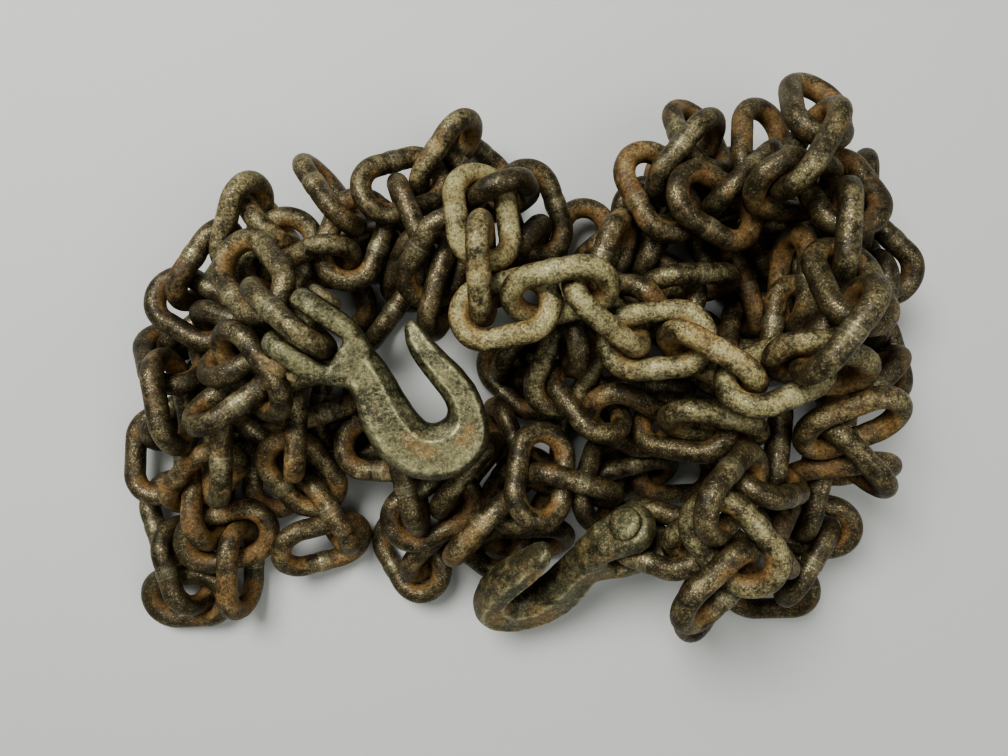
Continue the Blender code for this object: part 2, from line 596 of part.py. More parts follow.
def lay_run(pile, height, readings):
    """Thread one run above the heap, lower it, and clear it; returns its fused groups."""
    kinds = ["hook" if r[0] == "hook" else "link" for r in readings]
    flat = [(*HOOKS[r[1]][0], *HOOKS[r[1]][2:]) if k == "hook" else (r[0], r[1], r[2], 0.0, r[3])
            for k, r in zip(kinds, readings)]
    top = 0.0
    if len(pile.kind):
        corners = pile.hull.reshape(-1, 3)
        for r in flat:
            off = np.linalg.norm(corners[:, :2] - spread(r, height), axis=1)
            if (off < 70).any():
                top = max(top, float(corners[off < 70, 2].max()))
    goals = [np.append(spread(r, height), 0.0) for r in flat]
    goal_turns = [rotation(*r[2:]) for r in flat]
    for k in range(len(flat)):
        if kinds[k] == "hook":
            goals[k][2] = 10.0
            continue
        before = goals[max(k - 1, 0)]
        after = goals[min(k + 1, len(flat) - 1)]
        if goal_turns[k][:, 0] @ (after - before) < 0:
            goal_turns[k] = goal_turns[k] @ np.diag([-1.0, -1.0, 1.0])
        if k and kinds[k - 1] == "hook":
            facing = goal_turns[k - 1][:, 1]
            ahead = goal_turns[k][:, 0] - facing * (goal_turns[k][:, 0] @ facing)
            ahead = ahead / np.linalg.norm(ahead)
            goal_turns[k] = np.column_stack([ahead, np.cross(facing, ahead), facing])
    places, turns = thread_run(kinds, [g.copy() for g in goals], [t.copy() for t in goal_turns],
                               goals, goal_turns)
    sizes = group_sizes(kinds.count("link"))
    starts = {sum(sizes[:k]) for k in range(len(sizes))}
    low = len(pile.kind)
    number = 0
    for k, kind in enumerate(kinds):
        tied = kind == "link" and number not in starts
        number += kind == "link"
        pile.add(kind, places[k], turns[k], tied)
    high = len(pile.kind)
    pile.refresh(low, high)
    lift = top + 4.0 - float(pile.hull[pile.first[low]:, :, 2].min())
    for k in range(low, high):
        pile.place[k] = pile.place[k] + np.array([0, 0, lift])
    pile.refresh(low, high)
    for fall, guide, least, passes in LOWERING:
        drops = []
        deepest = np.zeros(high - low)
        for step in range(passes):
            if step % 3 == 0:
                one, two = pile.near(low, 10.0)
            before = np.mean([pile.place[k][2] for k in range(low, high)])
            falls = fall * np.clip(1.0 - deepest / CAUGHT, 0.2, 1.0)
            guide_run(pile, low, flat, goal_turns, height, falls, guide)
            for sweep in range(4):
                deepest = pile.clear(low, one, two)
            drops.append(before - np.mean([pile.place[k][2] for k in range(low, high)]))
            if step > 15 and np.mean(drops[-12:]) < least:
                break
    worst = finish_run(pile, low)
    links = [k for k in range(low, high) if pile.kind[k] == "link"]
    groups = [links[sum(sizes[:k]):sum(sizes[:k + 1])] for k in range(len(sizes))]
    return groups, [k for k in range(low, high) if pile.kind[k] == "hook"], worst


def guide_run(pile, low, flat, goal_turns, height, falls, guide):
    """Let the run sink a little and draw it towards its readings."""
    high = len(pile.kind)
    for k in range(low, high):
        z = pile.place[k][2]
        shown = min(z, height + 25.0) if falls.max() > 1.0 else z
        want = np.array(flat[k - low][:2]) * (EYE_HEIGHT - shown) / READ_DISTANCE
        side = (want - pile.place[k][:2]) * guide
        size = np.linalg.norm(side)
        if size > 0.8:
            side *= 0.8 / size
        pile.place[k] = pile.place[k] + np.array([side[0], side[1], -falls[k - low]])
        if guide:
            hook = pile.kind[k] == "hook"
            off = turn_vector(goal_turns[k - low] @ pile.turn[k].T) * (0.25 if hook else 0.04)
            size = np.linalg.norm(off)
            if size > 0.03:
                off *= 0.03 / size
            pile.turn[k] = turn_by(off) @ pile.turn[k]
    pile.refresh(low, high)


def finish_run(pile, low):
    """Clear the last overlaps of a run; a piece that stays caught is eased upwards."""
    high = len(pile.kind)
    worst = 9.0
    eased = np.zeros(high)
    for final in range(600):
        if final % 15 == 0:
            one, two = pile.near(low, 6.0)
        deepest = pile.clear(low, one, two)
        worst = float(deepest.max())
        if final > 30 and worst < 0.02 and pile.fuse_error < 0.15:
            break
        if final > 80 and (final // 40) % 2 == 0:
            for k in range(low, high):
                if deepest[k - low] > 0.08 and eased[k] < 20.0:
                    pile.place[k] = pile.place[k] + np.array([0, 0, 0.25])
                    eased[k] += 0.25
            pile.refresh(low, high)
    return worst


def mesh_of(name, vertices, faces, material, smooth=False):
    """Object from corners in millimetres and faces."""
    mesh = bpy.data.meshes.new(name)
    mesh.from_pydata([tuple(float(c) * METRE for c in v) for v in vertices], [], faces)
    box = bmesh.new()
    box.from_mesh(mesh)
    bmesh.ops.recalc_face_normals(box, faces=box.faces)
    box.to_mesh(mesh)
    box.free()
    for face in mesh.polygons:
        face.use_smooth = smooth
    obj = bpy.data.objects.new(name, mesh)
    bpy.context.scene.collection.objects.link(obj)
    if material:
        mesh.materials.append(material)
    return obj


def ring_faces(rings, sides, closed):
    """Faces of a swept wire; the ends are capped unless the sweep is closed."""
    faces = []
    last = rings if closed else rings - 1
    for k in range(last):
        a = k * sides
        b = ((k + 1) % rings) * sides
        for s in range(sides):
            t = (s + 1) % sides
            faces.append((a + s, a + t, b + t, b + s))
    if not closed:
        faces.append(tuple(range(sides))[::-1])
        faces.append(tuple(range((rings - 1) * sides, rings * sides)))
    return faces


def hull_object(name, corners):
    """Convex body around a set of corners."""
    box = bmesh.new()
    for corner in corners:
        box.verts.new([float(c) * METRE for c in corner])
    bmesh.ops.remove_doubles(box, verts=box.verts, dist=0.00001)
    result = bmesh.ops.convex_hull(box, input=box.verts)
    spare = {v for v in result["geom_interior"] + result["geom_unused"] if isinstance(v, bmesh.types.BMVert)}
    bmesh.ops.delete(box, geom=list(spare), context="VERTS")
    bmesh.ops.dissolve_limit(box, angle_limit=0.01, verts=box.verts, edges=box.edges)
    mesh = bpy.data.meshes.new(name)
    box.to_mesh(mesh)
    box.free()
    obj = bpy.data.objects.new(name, mesh)
    bpy.context.scene.collection.objects.link(obj)
    return obj


def combine(target, other, operation):
    """Join or cut one body with another and remove the other."""
    change = target.modifiers.new("join", "BOOLEAN")
    change.operation = operation
    change.solver = "EXACT"
    change.object = other
    graph = bpy.context.evaluated_depsgraph_get()
    graph.update()
    mesh = bpy.data.meshes.new_from_object(target.evaluated_get(graph))
    target.modifiers.clear()
    old = target.data
    target.data = mesh
    bpy.data.meshes.remove(old)
    spare = other.data
    bpy.data.objects.remove(other)
    bpy.data.meshes.remove(spare)


def material(name, colour, metallic, roughness):
    """Plain metal surface."""
    made = bpy.data.materials.new(name)
    made.use_nodes = True
    shader = made.node_tree.nodes["Principled BSDF"]
    shader.inputs["Base Color"].default_value = (*colour, 1.0)
    shader.inputs["Metallic"].default_value = metallic
    shader.inputs["Roughness"].default_value = roughness
    return made


def moved(corners, place, turn):
    """Corners of a piece where it lies."""
    return np.asarray(corners) @ turn.T + place


def build_group(name, pile, members, colour):
    """Fused group of links as one body."""
    middle, rings = link_rings()
    corners = np.vstack(rings)
    faces = ring_faces(len(rings), SECTION_SIDES, True)
    whole = None
    for number, k in enumerate(members):
        place = pile.place[k]
        body = mesh_of(f"{name}_{number}", moved(corners, place, pile.turn[k]), faces, None)
        if whole is None:
            whole = body
        else:
            combine(whole, body, "UNION")
    whole.name = name
    whole.data.name = name
    whole.data.materials.clear()
    whole.data.materials.append(material(f"{name}_iron", colour, 0.75, 0.6))
    return whole


def build_hook(name, place, turn):
    """Hook body: blade, root and two ears with the pin hole, then the pin and the cotter."""
    middle, rings = blade_rings()
    faces = ring_faces(len(rings), len(BLADE_SECTION), False)
    blade = mesh_of(name, moved(np.vstack(rings), place, turn), faces, None)
    combine(blade, hull_object("root", moved(root_hull(), place, turn)), "UNION")
    for side in (1, -1):
        combine(blade, hull_object("ear", moved(ear_hull(side), place, turn)), "UNION")
    bore = disc_hull(PIN_HOLE_RADIUS, -EAR_OUTER - 5, EAR_OUTER + 5, 16)
    hole = hull_object("hole", moved(bore, place, turn))
    combine(blade, hole, "DIFFERENCE")
    blade.name = name
    blade.data.name = name
    blade.data.materials.clear()
    blade.data.materials.append(material(f"{name}_iron", (0.20, 0.20, 0.15), 0.6, 0.55))
    low = EAR_OUTER + HEAD_CLEAR
    pin = hull_object(f"{name}_pin", moved(disc_hull(PIN_RADIUS, -PIN_TAIL, low + 1.0, 16), place, turn))
    head = hull_object("head", moved(disc_hull(PIN_HEAD_RADIUS, low, low + PIN_HEAD_HEIGHT, 20), place, turn))
    combine(pin, head, "UNION")
    hole = hull_object("hole", moved(cotter_bar(COTTER_HOLE_RADIUS, COTTER_HALF + 1.0), place, turn))
    combine(pin, hole, "DIFFERENCE")
    pin.name = f"{name}_pin"
    pin.data.name = pin.name
    pin.data.materials.clear()
    pin.data.materials.append(material(f"{name}_pin_iron", (0.22, 0.19, 0.14), 0.6, 0.55))
    cotter = hull_object(f"{name}_cotter", moved(cotter_bar(COTTER_WIRE, COTTER_HALF), place, turn))
    knob_corners = cotter_bar(KNOB_RADIUS, KNOB_HALF) + np.array([KNOB_MIDDLE, 0, 0])
    knob = hull_object("knob", moved(knob_corners, place, turn))
    combine(cotter, knob, "UNION")
    cotter.name = f"{name}_cotter"
    cotter.data.name = cotter.name
    cotter.data.materials.clear()
    cotter.data.materials.append(material(f"{name}_cotter_iron", (0.35, 0.20, 0.08), 0.5, 0.7))
    return blade


def cotter_bar(radius, half_length, sides=10):
    """Corners of a round bar across the pin's tail."""
    turns = [2 * math.pi * (k + 0.5) / sides for k in range(sides)]
    ring = [(radius * math.cos(t), radius * math.sin(t)) for t in turns]
    y = -PIN_TAIL + 4.0
    return np.array([[x, y + a, b] for x in (-half_length, half_length) for a, b in ring])


def lay_heap():
    """All runs laid from the lowest up."""
    pile = Pile()
    groups = []
    hooks = {}
    for name, height, readings in RUNS:
        run_groups, run_hooks, worst = lay_run(pile, height, readings)
        for number, members in enumerate(run_groups):
            groups.append((f"chain_{name}_{number + 1}", members))
        for k in run_hooks:
            hooks[readings[0][1]] = k
        print(f"laid {name}: {len(readings)} pieces, overlap {worst:.3f} mm")
    return pile, groups, hooks


def main():
    """Clear the scene, lay the heap, and make its bodies."""
    for obj in list(bpy.data.objects):
        bpy.data.objects.remove(obj)
    pile, groups, hooks = lay_heap()
    corners = pile.hull.reshape(-1, 3)
    low = corners.min(axis=0)
    middle = (low + corners.max(axis=0)) / 2
    for k in range(len(pile.kind)):
        pile.place[k] = pile.place[k] - np.array([middle[0], middle[1], low[2]])
    for number, (name, members) in enumerate(groups):
        shade = 0.9 + 0.2 * ((number * 7) % 5) / 4
        build_group(name, pile, members, (0.12 * shade, 0.10 * shade, 0.075 * shade))
    for number, k in sorted(hooks.items()):
        build_hook(f"hook_{number}", pile.place[k], pile.turn[k])


main()
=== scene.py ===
# Heap of iron chain: round welded links, two forged clevis hooks with their pins and cotters,
# a pale floor, soft light and a camera straight above
import math

import bmesh
import bpy
import numpy as np
from mathutils import Matrix, Vector


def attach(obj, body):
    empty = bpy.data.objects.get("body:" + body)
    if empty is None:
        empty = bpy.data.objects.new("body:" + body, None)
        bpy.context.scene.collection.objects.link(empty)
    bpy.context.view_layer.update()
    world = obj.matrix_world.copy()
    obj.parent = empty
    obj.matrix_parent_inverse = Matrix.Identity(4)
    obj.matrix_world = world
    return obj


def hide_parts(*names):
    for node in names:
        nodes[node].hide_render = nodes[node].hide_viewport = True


mm = 0.001

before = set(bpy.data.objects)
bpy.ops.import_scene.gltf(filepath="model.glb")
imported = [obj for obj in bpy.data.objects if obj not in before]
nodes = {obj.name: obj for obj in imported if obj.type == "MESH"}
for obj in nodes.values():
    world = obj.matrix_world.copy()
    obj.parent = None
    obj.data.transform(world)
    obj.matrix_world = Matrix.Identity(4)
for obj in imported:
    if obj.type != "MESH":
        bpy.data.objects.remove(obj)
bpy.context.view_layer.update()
print("frame loaded:", len(nodes), "nodes")

# Camera first: the eye is about half a metre above the floor, over the point that the photo looks down on
cameraLook = {
    "eyeHeight": 0.515,
    "lens": 27.04,
    "sensor": 36.0,
    "overX": -0.0014,
    "overY": -0.0072,
    "imageWidth": 1008.0,
    "nadirRight": 3.0,
    "nadirDown": 2.0,
}


def addCamera(look):
    data = bpy.data.cameras.new("view")
    data.lens = look["lens"]
    data.sensor_width = look["sensor"]
    data.shift_x = -look["nadirRight"] / look["imageWidth"]
    data.shift_y = look["nadirDown"] / look["imageWidth"]
    camera = bpy.data.objects.new("view", data)
    camera.location = (look["overX"], look["overY"], look["eyeHeight"])
    bpy.context.scene.collection.objects.link(camera)
    bpy.context.scene.camera = camera


addCamera(cameraLook)


# Shader maths: an expression on wrapped sockets adds its Math nodes
class Value:
    def __init__(self, paint, socket):
        self.paint = paint
        self.socket = socket

    def maths(self, operation, *others):
        return self.paint.node("ShaderNodeMath", {"operation": operation}, self, *others)

    def __add__(self, other):
        return self.maths("ADD", other)

    def __radd__(self, other):
        return self.maths("ADD", other)

    def __sub__(self, other):
        return self.maths("SUBTRACT", other)

    def __rsub__(self, other):
        return self.paint.node("ShaderNodeMath", {"operation": "SUBTRACT"}, other, self)

    def __mul__(self, other):
        return self.maths("MULTIPLY", other)

    def __rmul__(self, other):
        return self.maths("MULTIPLY", other)

    def __truediv__(self, other):
        return self.maths("DIVIDE", other)

    def atLeast(self, other):
        return self.maths("MAXIMUM", other)

    def atMost(self, other):
        return self.maths("MINIMUM", other)

    def smooth(self, low, high):
        settings = {"interpolation_type": "SMOOTHSTEP", "clamp": True}
        return self.paint.node("ShaderNodeMapRange", settings, self, low, high, 0.0, 1.0)


# Works on shader trees and on geometry trees: node() takes a type, its settings and its inputs
class Paint:
    def __init__(self, tree):
        self.tree = tree

    def node(self, kind, settings=None, *values, named=None, output=0):
        made = self.tree.nodes.new(kind)
        for key, setting in (settings or {}).items():
            setattr(made, key, setting)
        for key, value in [*enumerate(values), *(named or {}).items()]:
            self.plug(made, key, value)
        return Value(self, made.outputs[output]) if made.outputs else made

    def plug(self, made, key, value):
        if isinstance(value, Value):
            self.tree.links.new(value.socket, made.inputs[key])
        else:
            made.inputs[key].default_value = value

    # the Mix node's colour sockets are its inputs 6 and 7 and its output 2
    def mix(self, amount, first, second, way="MIX"):
        settings = {"data_type": "RGBA", "blend_type": way, "clamp_factor": True}
        one, two = ((*colour, 1.0) if isinstance(colour, tuple) else colour for colour in (first, second))
        return self.node("ShaderNodeMix", settings, output=2, named={0: amount, 6: one, 7: two})

    def darken(self, colour, shade):
        grey = self.node("ShaderNodeCombineColor", None, shade, shade, shade)
        return self.mix(1.0, colour, grey, "MULTIPLY")

    def noise(self, where, scale, detail, rough, shift=None):
        if shift is not None:
            where = self.node("ShaderNodeVectorMath", {"operation": "ADD"}, where, shift)
        sizes = {"Scale": scale, "Detail": detail, "Roughness": rough}
        return self.node("ShaderNodeTexNoise", None, where, named=sizes)

    def own(self, name):
        return self.node("ShaderNodeAttribute", {"attribute_name": name}, output=2)


def newMaterial(name):
    made = bpy.data.materials.new(name)
    made.use_nodes = True
    shader = made.node_tree.nodes["Principled BSDF"]
    paint = Paint(made.node_tree)
    where = paint.node("ShaderNodeTexCoord", None, output=3)  # Object
    facing = paint.node("ShaderNodeNewGeometry", None, output=1)  # Normal
    upward = paint.node("ShaderNodeSeparateXYZ", None, facing, output=2)
    return made, shader, paint, where, upward


def finishSurface(paint, shader, colour, roughness, metallic, heights):
    paint.plug(shader, "Base Color", colour)
    paint.plug(shader, "Roughness", roughness)
    paint.plug(shader, "Metallic", metallic)
    normal = None
    for height, distance in heights:
        named = {"Strength": 1.0, "Distance": distance, "Height": height}
        if normal is not None:
            named["Normal"] = normal
        normal = paint.node("ShaderNodeBump", None, named=named)
    paint.plug(shader, "Normal", normal)


chainFinish = {
    "oxide": (0.034, 0.027, 0.014),
    "oxideLight": (0.134, 0.099, 0.045),
    "dust": (0.370, 0.335, 0.155),
    "dustDark": (0.118, 0.092, 0.034),
    "rust": (0.262, 0.140, 0.037),
    "rustDark": (0.098, 0.053, 0.015),
    "worn": (0.520, 0.480, 0.290),
    "patchScale": 95.0,
    "grainScale": 560.0,
    "fleckScale": 900.0,
    "fleckEdges": (0.555, 0.655),
    "seatRust": 0.95,
    "linkRust": 0.85,
    "rustStart": 0.42,
    "rustStrength": 0.86,
    "dustStart": 0.34,
    "dustStrength": 0.90,
    "pitShade": 0.62,
    "pitShadeLost": 0.34,
    "roughness": 0.46,
    "metallic": 0.55,
    "metallicMost": 0.85,
    "pitDepth": 0.0006,
    "grainDepth": 0.00028,
}


def chainMaterial(finish):
    made, shader, paint, where, upward = newMaterial("worn chain iron")
    dust, rust, tone, seat, weld = (paint.own(name) for name in ("dust", "rust", "tone", "seat", "weld"))
    patches = paint.noise(where, finish["patchScale"], 6.0, 0.62)
    blotches = paint.noise(where, finish["patchScale"] * 0.42, 4.0, 0.6, (3.1, 1.7, 8.2))
    grain = paint.noise(where, finish["grainScale"], 5.0, 0.7)
    pits = paint.noise(where, finish["grainScale"] * 0.45, 4.0, 0.65, (7.3, 2.2, 0.4))
    flecks = paint.noise(where, finish["fleckScale"], 3.0, 0.75, (0.7, 5.9, 3.3))
    lies = (upward * 0.5 + 0.5).smooth(0.35, 1.0)

    scale = (patches * 0.7 + grain * 0.3).smooth(0.36, 0.62)
    colour = paint.mix(scale, finish["oxide"], finish["oxideLight"])
    # rust sits in the bends where the next link bears, and in patches elsewhere
    rustCover = seat * finish["seatRust"] + rust * finish["linkRust"] + (blotches - 0.5) * 2.6
    rustCover = (rustCover + (pits - 0.5) * 0.9 - finish["rustStart"]).smooth(0.0, 0.6)
    rustBright = (grain * 0.6 + patches * 0.4).smooth(0.38, 0.60)
    rustColour = paint.mix(rustBright, finish["rustDark"], finish["rust"])
    colour = paint.mix(rustCover * finish["rustStrength"], colour, rustColour)
    # dust lies on what faces up, and more of it on the links that lie on top
    dustCover = dust * (0.30 + 0.95 * lies) + (patches - 0.5) * 1.15 + (pits - 0.5) * 0.6
    dustCover = (dustCover + (grain - 0.5) * 1.25 - finish["dustStart"]).smooth(0.0, 0.9)
    dustCover = dustCover * (1.0 - seat * 0.6)
    # the dust is painted a little lighter where it faces up and darker on the links' sides, a painted shade
    dustSpeckleAndShade = patches * 0.24 + grain * 0.40 + flecks * 0.36 + (lies - 0.6) * 0.10
    dustColour = paint.mix(dustSpeckleAndShade.smooth(0.40, 0.60), finish["dustDark"], finish["dust"])
    colour = paint.mix(dustCover * finish["dustStrength"], colour, dustColour)
    # small pale flecks of bare metal, painted mostly on the upper side, where they are also painted glints
    wornCover = (flecks + (patches - 0.5) * 0.35).smooth(*finish["fleckEdges"])
    wornCover = (wornCover * (0.15 + 0.85 * lies)).atMost(1.0)
    # the weld shows as a paler band between two rubbed lines
    seam = (1.0 - (weld - 0.55).maths("ABSOLUTE") * 6.0).atLeast(0.0)
    wornCover = wornCover * 0.7 + weld * grain * 0.35 + seam * patches * 0.65
    wornCover = wornCover * (1.0 - rustCover * 0.5)
    colour = paint.mix(wornCover, colour, finish["worn"])
    # dark pits anywhere, fainter where dust fills them
    pitted = (pits * 0.45 + flecks * 0.55).smooth(0.47, 0.37)
    # tone holds each link's own lightness and, on links low in the heap, painted shade
    shade = tone * (1.0 - pitted * (finish["pitShade"] - finish["pitShadeLost"] * dustCover))
    colour = paint.darken(colour, shade)

    roughness = finish["roughness"] + 0.26 * rustCover + 0.24 * dustCover - 0.16 * wornCover
    roughness = roughness + (grain - 0.5) * 0.3
    metallic = finish["metallic"] - 0.50 * rustCover - 0.45 * dustCover + 0.25 * wornCover
    metallic = metallic.atLeast(0.0).atMost(finish["metallicMost"])
    heights = ((flecks * 0.4 + grain * 0.6, finish["grainDepth"]),
               (pits * 0.6 + patches * 0.8, finish["pitDepth"]))
    finishSurface(paint, shader, colour, roughness, metallic, heights)
    return made


def share(value, whole):
    return min(max(value / whole, 0.0), 1.0)


def solidObject(name, mesh):
    made = bpy.data.objects.new(name, mesh)
    bpy.context.scene.collection.objects.link(made)
    return made


def keepValues(mesh, name, values, kind="FLOAT"):
    made = mesh.attributes.new(name, kind, "POINT")
    made.data.foreach_set("vector" if kind == "FLOAT_VECTOR" else "value", values)


# Turns what the modifiers make into the object's own plain mesh
def applied(made):
    graph = bpy.context.evaluated_depsgraph_get()
    graph.update()
    mesh = bpy.data.meshes.new_from_object(made.evaluated_get(graph))
    made.modifiers.clear()
    old = made.data
    made.data = mesh
    bpy.data.meshes.remove(old)


# A geometry tree with named inputs; what a modifier has to set is kept by each socket's identifier
def startTree(name, inputs):
    tree = bpy.data.node_groups.new(name, "GeometryNodeTree")
    tree.interface.new_socket("Geometry", in_out="INPUT", socket_type="NodeSocketGeometry")
    settings = {}
    for label, value in inputs.items():
        kind = "NodeSocketInt" if isinstance(value, int) else "NodeSocketFloat"
        item = tree.interface.new_socket(label, in_out="INPUT", socket_type=kind)
        item.default_value = value
        settings[item.identifier] = value
    tree.interface.new_socket("Geometry", in_out="OUTPUT", socket_type="NodeSocketGeometry")
    geo = Paint(tree)
    group = tree.nodes.new("NodeGroupInput")
    given = {socket.name: Value(geo, socket) for socket in group.outputs}
    return tree, settings, geo, given


def runTree(made, tree, settings):
    maker = made.modifiers.new(tree.name, "NODES")
    maker.node_group = tree
    for identifier, value in settings.items():
        maker[identifier] = value
    applied(made)


# Forging dents of two sizes, each given as its noise scale, its detail and its share of the depth
def pushDents(geo, solid, depth, seed, dents):
    shift = geo.node("ShaderNodeCombineXYZ", None, seed, 0.0, 0.0)
    spot = geo.node("GeometryNodeInputPosition")
    spot = geo.node("ShaderNodeVectorMath", {"operation": "ADD"}, spot, shift)
    heights = []
    for scale, detail, part in dents:
        bumps = geo.node("ShaderNodeTexNoise", None, spot, named={"Scale": scale, "Detail": detail})
        heights.append((bumps - 0.5) * part)
    height = (heights[0] + heights[1]) * depth
    normal = geo.node("GeometryNodeInputNormal")
    push = geo.node("ShaderNodeVectorMath", {"operation": "SCALE"}, normal, named={"Scale": height})
    return geo.node("GeometryNodeSetPosition", None, solid, named={"Offset": push})


# Links: each one is found again from the two flat faces of its six-sided bar
linkSize = {
    "wireRadius": 6.5 * mm,
    "bendRadius": 15.5 * mm,
    "halfStraight": 11.0 * mm,
    "barCorner": 7.15 * mm,
    "bendSteps": 4,
    "stations": 84,
    "sides": 18,
    "weldSwell": 0.055,
    "weldHalfWidth": 3.4 * mm,
    "grooveAt": 1.5,
    "grooveWidth": 0.35,
    "grooveDepth": 0.7,
    "ringSteps": 128,
    # over which Y the weld's side begins, and over which X and share of the wire a seat is worn in
    "weldStart": (0.0, 4 * mm),
    "seatAlong": (-3 * mm, 6 * mm),
    "seatInner": (0.05, 0.85),
    "dent": 0.45 * mm,
    "dents": ((70.0, 2.0, 1.3), (260.0, 2.0, 0.55)),
    "seed": 11,
}

# What counts as a flat face of a bar, as one of a pair, and as a corner that belongs to the link
linkSearch = {
    "smallestTriangle": 0.5 * mm * mm,
    "smallestFace": 550 * mm * mm,
    "sameWay": 0.9995,
    "sameLevel": 0.12 * mm,
    "sameThickness": 0.15 * mm,
    "widestPair": 25 * mm,
    "reaches": (6.0, 3.0, 1.5, 0.6, 0.3, 0.3),
}


# The corners of one six-sided bar, in the link's own frame
def barCorners(size):
    points = []
    for side in (1, -1):
        for step in range(size["bendSteps"] + 1):
            angle = math.radians(-90 + 180 * step / size["bendSteps"])
            out = np.array([side * math.cos(angle), side * math.sin(angle), 0.0])
            middle = np.array([side * size["halfStraight"], 0.0, 0.0]) + size["bendRadius"] * out
            for corner in range(6):
                turn = math.radians(60 * corner)
                reach = math.cos(turn) * out + np.array([0.0, 0.0, math.sin(turn)])
                points.append(middle + size["barCorner"] * reach)
    return np.array(points)


# A node's large flat faces, each gathered from the triangles that lie in one plane
def flatFaces(mesh, search):
    mesh.calc_loop_triangles()
    count = len(mesh.loop_triangles)
    corner = np.zeros(count * 3, int)
    mesh.loop_triangles.foreach_get("vertices", corner)
    place = np.zeros(len(mesh.vertices) * 3)
    mesh.vertices.foreach_get("co", place)
    place = place.reshape(-1, 3)
    triangles = place[corner.reshape(-1, 3)]
    cross = np.cross(triangles[:, 1] - triangles[:, 0], triangles[:, 2] - triangles[:, 0])
    area = np.linalg.norm(cross, axis=1) / 2
    order = np.argsort(-area, kind="stable")
    faces = []
    for index in order:
        if area[index] < search["smallestTriangle"]:
            break
        normal = cross[index] / (2 * area[index])
        level = float(normal @ triangles[index].mean(axis=0))
        for face in faces:
            aligned = normal @ face["normal"] > search["sameWay"]
            if aligned and abs(level - face["level"]) < search["sameLevel"]:
                face["area"] += area[index]
                face["points"].extend(triangles[index])
                break
        else:
            faces.append({"normal": normal, "level": level, "area": area[index],
                          "points": list(triangles[index])})
    return [face for face in faces if face["area"] > search["smallestFace"]], place


# The turn and the place that lay a link's own corners on the ones seen
def fitTurn(local, seen):
    middleLocal = local.mean(axis=0)
    middleSeen = seen.mean(axis=0)
    u, _, v = np.linalg.svd((local - middleLocal).T @ (seen - middleSeen))
    flip = np.diag([1.0, 1.0, np.sign(np.linalg.det(v.T @ u.T))])
    turn = v.T @ flip @ u.T
    return turn, middleSeen - turn @ middleLocal


# A link's two flat faces are level, turned away from each other and one bar's thickness apart
def arePair(one, two, thickness, search):
    if one["normal"] @ two["normal"] > -search["sameWay"]:
        return False
    if abs(one["level"] + two["level"] - thickness) > search["sameThickness"]:
        return False
    apart = np.linalg.norm(np.mean(one["points"], axis=0) - np.mean(two["points"], axis=0))
    return apart <= search["widestPair"]


def linksOf(node, size, search):
    thickness = 2 * (size["barCorner"] * math.sqrt(0.75))
    faces, place = flatFaces(node.data, search)
    local = barCorners(size)
    found = []
    used = set()
    for first in range(len(faces)):
        for second in range(first + 1, len(faces)):
            one, two = faces[first], faces[second]
            if first in used or second in used or not arePair(one, two, thickness, search):
                continue
            used.update((first, second))
            # the first guess comes from the faces' long axis, and the corners then draw it home
            points = np.array(one["points"] + two["points"])
            normal = one["normal"]
            spread = points - points.mean(axis=0)
            spread = spread - np.outer(spread @ normal, normal)
            axes = np.linalg.svd(spread, full_matrices=False)[2]
            long = axes[0] - normal * (axes[0] @ normal)
            long /= np.linalg.norm(long)
            turn = np.column_stack([long, np.cross(normal, long), normal])
            inside = points @ turn
            middle = turn @ ((inside.max(axis=0) + inside.min(axis=0)) / 2)
            for reach in search["reaches"]:
                guess = local @ turn.T + middle
                gap = np.linalg.norm(guess[:, None, :] - place[None, :, :], axis=2)
                near = gap.argmin(axis=1)
                keep = gap[np.arange(len(local)), near] < reach * mm
                turn, middle = fitTurn(local[keep], place[near[keep]])
            miss = float(np.abs(local[keep] @ turn.T + middle - place[near[keep]]).max())
            found.append((middle, turn, miss))
    return found


# How dusty, how rusty and how light the links of a run are; the runs not named here get "others"
runLook = {
    "top": (0.27, 0.42, 0.76),
    "centre_top": (0.54, 0.38, 1.15),
    "lower_right_top": (0.42, 0.38, 0.94),
    "lower_right": (0.42, 0.42, 0.95),
    "far_hook_run": (0.46, 0.40, 1.00),
    "near_hook_run": (0.46, 0.30, 0.95),
    "bottom_ring": (0.40, 0.50, 0.95),
    "upper_middle": (0.46, 0.42, 1.05),
    "upper_middle_over": (0.48, 0.44, 1.12),
    "upper_left": (0.52, 0.48, 1.14),
    "lower_left": (0.42, 0.74, 1.20),
    "below_hook": (0.44, 0.64, 1.25),
    "top_left_ring": (0.34, 0.48, 0.90),
    "top_middle_ring": (0.36, 0.46, 0.95),
    "right_column": (0.26, 0.36, 0.72),
    "left_edge": (0.32, 0.26, 0.85),
    "floor_left_edge": (0.32, 0.44, 0.95),
    "near_left": (0.32, 0.42, 0.82),
    "others": (0.37, 0.50, 1.02),
}

# Links low in the heap are less dusty and painted darker as painted shade inside the heap, and no two links
# are alike
linkVariety = {
    "lowest": 0.03,
    "rise": 0.07,
    "lowDust": 0.6,
    "lowPaintedShade": 0.80,
    "dust": (-0.15, 0.16),
    "rust": (-0.22, 0.22),
    "tone": (0.86, 1.12),
}

# The palest links lie along this path over the middle of the heap, X and Y in millimetres
paleLook = {
    "path": ((-20, 80), (-18, 53), (-1, 34), (32, 43), (60, 29), (118, 2), (148, -6)),
    "reach": 19.0,
    "least": 0.070,
    "rise": 0.02,
    "dust": 0.47,
    "rust": 0.16,
    "tone": 0.30,
}


def paleness(middle, look):
    best = 1e9
    spot = np.array(middle[:2]) / mm
    for one, two in zip(look["path"], look["path"][1:]):
        one, two = np.array(one, float), np.array(two, float)
        along = share((spot - one) @ (two - one), (two - one) @ (two - one))
        best = min(best, float(np.linalg.norm(spot - one - along * (two - one))))
    high = share(middle[2] - look["least"], look["rise"])
    return high * math.exp(-(best / look["reach"]) ** 4)


